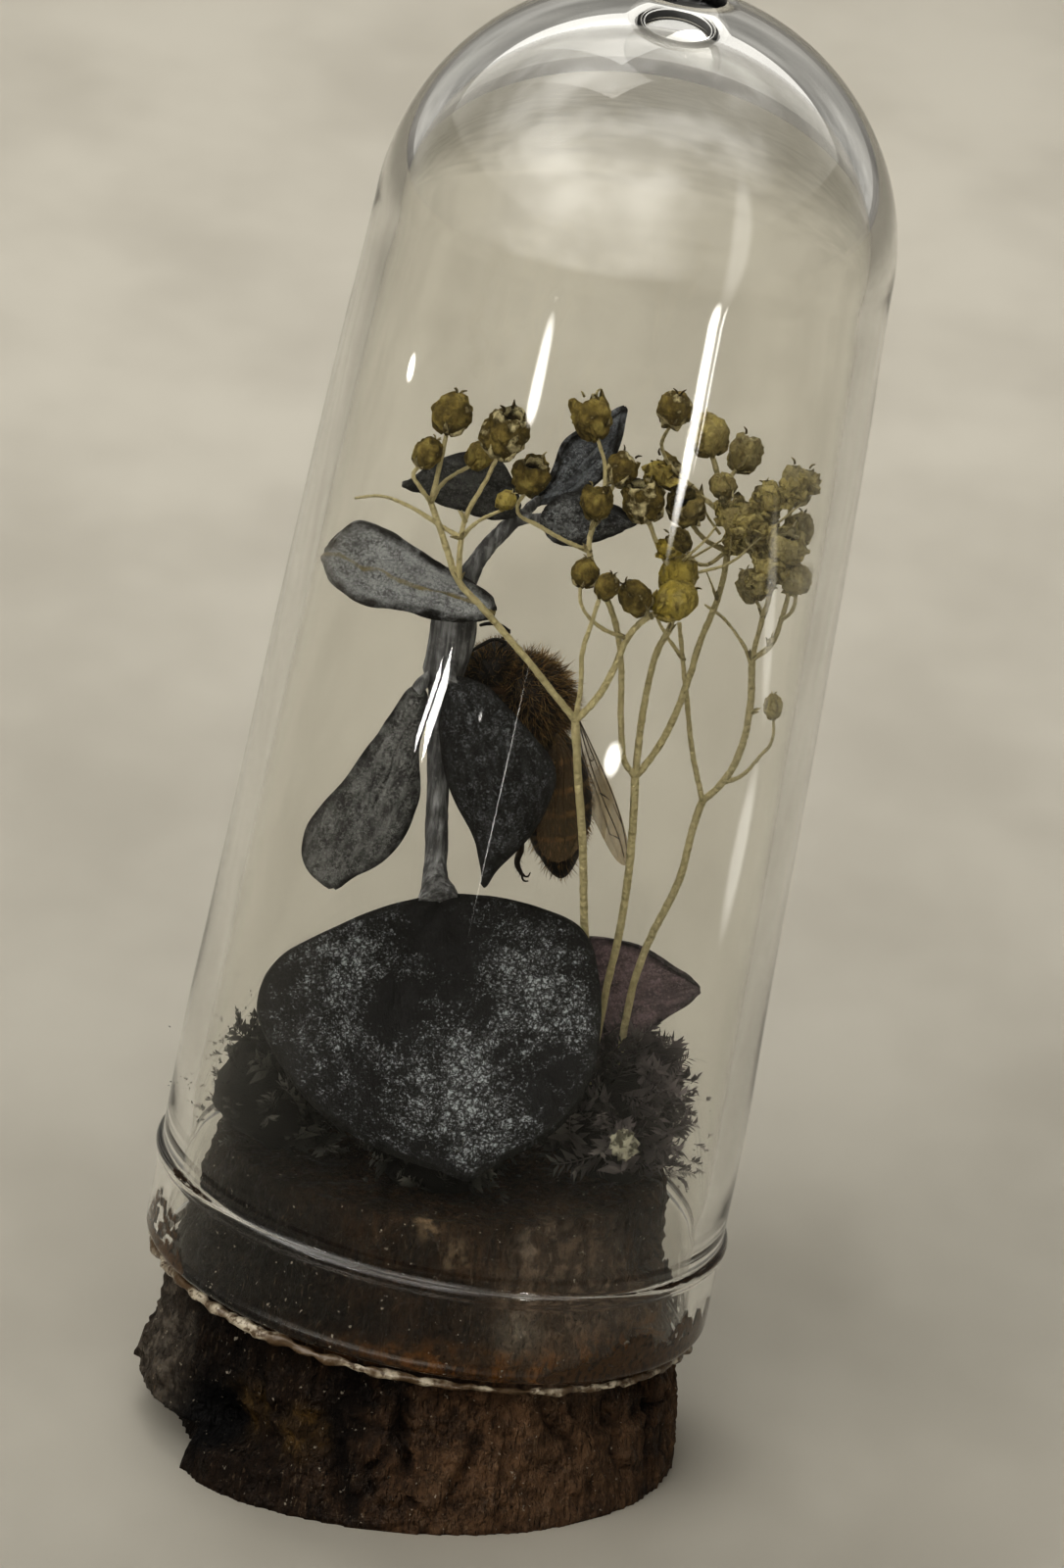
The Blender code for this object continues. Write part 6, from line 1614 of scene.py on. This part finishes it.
world = bpy.data.worlds.new("soft room")
bpy.context.scene.world = world
world.use_nodes = True
sky = world.node_tree
skyWay = addNode(sky, "ShaderNodeTexCoord").outputs["Generated"]
height = axisOf(sky, skyWay, "Z")
room = rampOf(sky, remap(sky, height, -1.0, 1.0),
              [(0.45, studio["low"]), (0.55, studio["horizon"]), (0.85, studio["zenith"])])
glow = remap(sky, vectorMath(sky, "DOT_PRODUCT", skyWay, studio["glowAim"]), 0.55, 1.0, smooth=True)
glow = times(sky, glow, remap(sky, height, -0.02, 0.05))
room = vectorMath(sky, "ADD", room, scaled(sky, studio["glow"], glow))
sockets = {"Vector": skyWay, "Scale": 2.6, "Detail": 3.0, "Roughness": 0.55}
patches = addNode(sky, "ShaderNodeTexNoise", sockets)
room = scaled(sky, room, remap(sky, patches.outputs["Fac"], 0.35, 0.65, 0.6, 1.35))
sky.links.new(room, sky.nodes["Background"].inputs["Color"])
sky.nodes["Background"].inputs["Strength"].default_value = 1.0

bpy.ops.object.light_add(type="AREA", location=Vector(studio["lampPlace"]) * mm)
lamp = bpy.context.object
lamp.name = "back lamp"
lamp.data.size = studio["lampSize"] * mm
lamp.data.spread = math.radians(studio["lampSpread"])
lamp.data.energy = studio["lampEnergy"]
lamp.data.color = studio["lampColour"]
lamp.rotation_euler = turnTo(lamp.location - Vector(studio["lampAim"]) * mm).to_euler()


def addCard(name, place, aim, above, size, bright, cloud=None, soft=0.0, round=False, inside=False):
    # a glowing card that shows only as a reflection, or only through glass when inside is set
    if round:
        bpy.ops.mesh.primitive_circle_add(vertices=48, radius=0.5, fill_type="NGON")
    else:
        bpy.ops.mesh.primitive_plane_add(size=1.0)
    card = bpy.context.object
    card.name = name
    facing = (Vector(aim) - Vector(place)).normalized()
    side = Vector(above).cross(facing).normalized()
    turn = Matrix((side, facing.cross(side), facing)).transposed().to_4x4()
    spread = Matrix.Diagonal((size[0] * mm, size[1] * mm, 1.0, 1.0))
    card.matrix_world = Matrix.Translation(Vector(place) * mm) @ turn @ spread
    look = bpy.data.materials.new(name)
    look.use_nodes = True
    tree = look.node_tree
    tree.nodes.remove(tree.nodes["Principled BSDF"])
    middle = addNode(tree, "ShaderNodeTexCoord").outputs["Generated"]
    strength = bright
    if cloud:
        scale, low, high, least = cloud
        patches = mottling(tree, middle, scale, low, high, 4.0)
        strength = times(tree, plus(tree, patches, least), bright)
    if soft:
        flat = vectorMath(tree, "MULTIPLY", middle, (1, 1, 0))
        away = vectorMath(tree, "DISTANCE", flat, (0.5, 0.5, 0.0))
        strength = times(tree, remap(tree, away, 0.5, 0.5 - soft), strength)
    glowing = addNode(tree, "ShaderNodeEmission", {"Color": studio["cardGlow"], "Strength": strength})
    clear = addNode(tree, "ShaderNodeBsdfTransparent")
    both = addNode(tree, "ShaderNodeAddShader", {0: glowing.outputs[0], 1: clear.outputs[0]})
    tree.links.new(both.outputs[0], tree.nodes["Material Output"].inputs["Surface"])
    card.data.materials.append(look)
    card.visible_camera = False
    card.visible_diffuse = False
    card.visible_shadow = False
    card.visible_glossy = not inside
    card.visible_transmission = inside


# the ceiling above the dome, and the pale room that is seen through the crown
addCard("ceiling", (-60, -160, 620), (0, 0, 0), (0, 1, 0), (2300, 1500), 4.0, cloud=(5.0, 0.38, 0.64, 0.35),
        soft=0.36, round=True)
addCard("upper room", (0, 0, 700), (0, 0, 0), (0, 1, 0), (2600, 2600), 0.5, inside=True)
addCard("far room", (0, 1100, 500), (0, 0, 60), (0, 0, 1), (2600, 800), 0.12,
        cloud=(4.0, 0.38, 0.64, 0.7), inside=True)

# windows that leave streaks on the glass: name, place, what it faces, its upright, size, brightness
windows = (
    ("long streak", (58.3, -73.6, 43.9), (10.2, -13.1, 64.4), (0.31, -0.07, 0.95), (8.0, 25.0), 20.0),
    ("thin streak", (62.9, -69.6, 45.5), (10.8, -12.8, 66.6), (0.37, -0.01, 0.93), (2.0, 16.0), 12.0),
    ("pale streak", (69.8, -62.9, 91.2), (11.4, -12.0, 71.2), (0.01, 0.37, 0.93), (16.7, 100.0), 2.4),
    ("left glint", (-84.1, -6.6, 52.1), (-4.7, -9.5, 62.0), (0.09, 0, 1), (7.0, 2.3), 18.0),
    ("middle glint", (-38.4, -81.4, 51.6), (1.9, -13.4, 63.4), (0.09, 0, 1), (9.0, 5.2), 18.0),
    ("round glint", (46.7, -79.7, 19.5), (7.7, -14.1, 43.8), (0.09, 0, 1), (12.0, 2.6), 22.0),
    ("tiny glint", (-33.2, -84.5, 27.9), (0.7, -14.2, 45.4), (0.09, 0, 1), (2.4, 0.8), 12.0),
    ("low streak", (87.1, 8.0, 8.3), (14.8, -9.4, 38.0), (0.43, -0.38, 0.82), (14.9, 12.0), 2.2),
    ("fine line", (-14.0, -92.7, 21.0), (1.6, -14.4, 43.5), (0.2, -0.3, 0.93), (0.9, 20.0), 9.0),
    ("side streak", (90.0, -3.6, 24.1), (15.0, -9.9, 51.1), (0.23, -0.87, 0.44), (5.0, 33.6), 2.0))
for name, place, aim, above, size, bright in windows:
    addCard(name, place, aim, above, size, bright, soft=0.22, round=True)
for shift, wide in ((-2.6, 1.7), (1.4, 3.4)):
    addCard("window pane", (-57.9 + shift, -68.1 - shift * 0.85, 29.7), (-1.7, -13.4, 45.4),
            (0.47, -0.65, 0.60), (wide, 8.0), 24.0)

# the camera stands above and in front, rolled as the photograph is
view = {"target": (3.721, 0.0, 37.096), "distance": 600.0, "lift": 18.5, "roll": 6.118, "length": 11573.29,
        "frameHeight": 1600, "sensor": 36.0}

bpy.ops.object.camera_add()
camera = bpy.context.object
lift, roll = math.radians(view["lift"]), math.radians(view["roll"])
back = Vector((0.0, -math.cos(lift), math.sin(lift)))
right = Vector((1.0, 0.0, 0.0))
above = Vector((0.0, math.sin(lift), math.cos(lift)))
rightRolled = right * math.cos(roll) + above * math.sin(roll)
aboveRolled = above * math.cos(roll) - right * math.sin(roll)
stand = (Vector(view["target"]) + back * view["distance"]) * mm
turn = Matrix((rightRolled, aboveRolled, back)).transposed().to_4x4()
camera.matrix_world = Matrix.Translation(stand) @ turn
camera.data.sensor_fit = "VERTICAL"
camera.data.sensor_height = view["sensor"]
camera.data.lens = view["length"] * view["sensor"] / view["frameHeight"]
camera.data.clip_start = 0.01
bpy.context.scene.camera = camera
bpy.context.scene.view_settings.view_transform = "Standard"
bpy.context.scene.view_settings.look = "High Contrast"
print("floor, light and camera done")
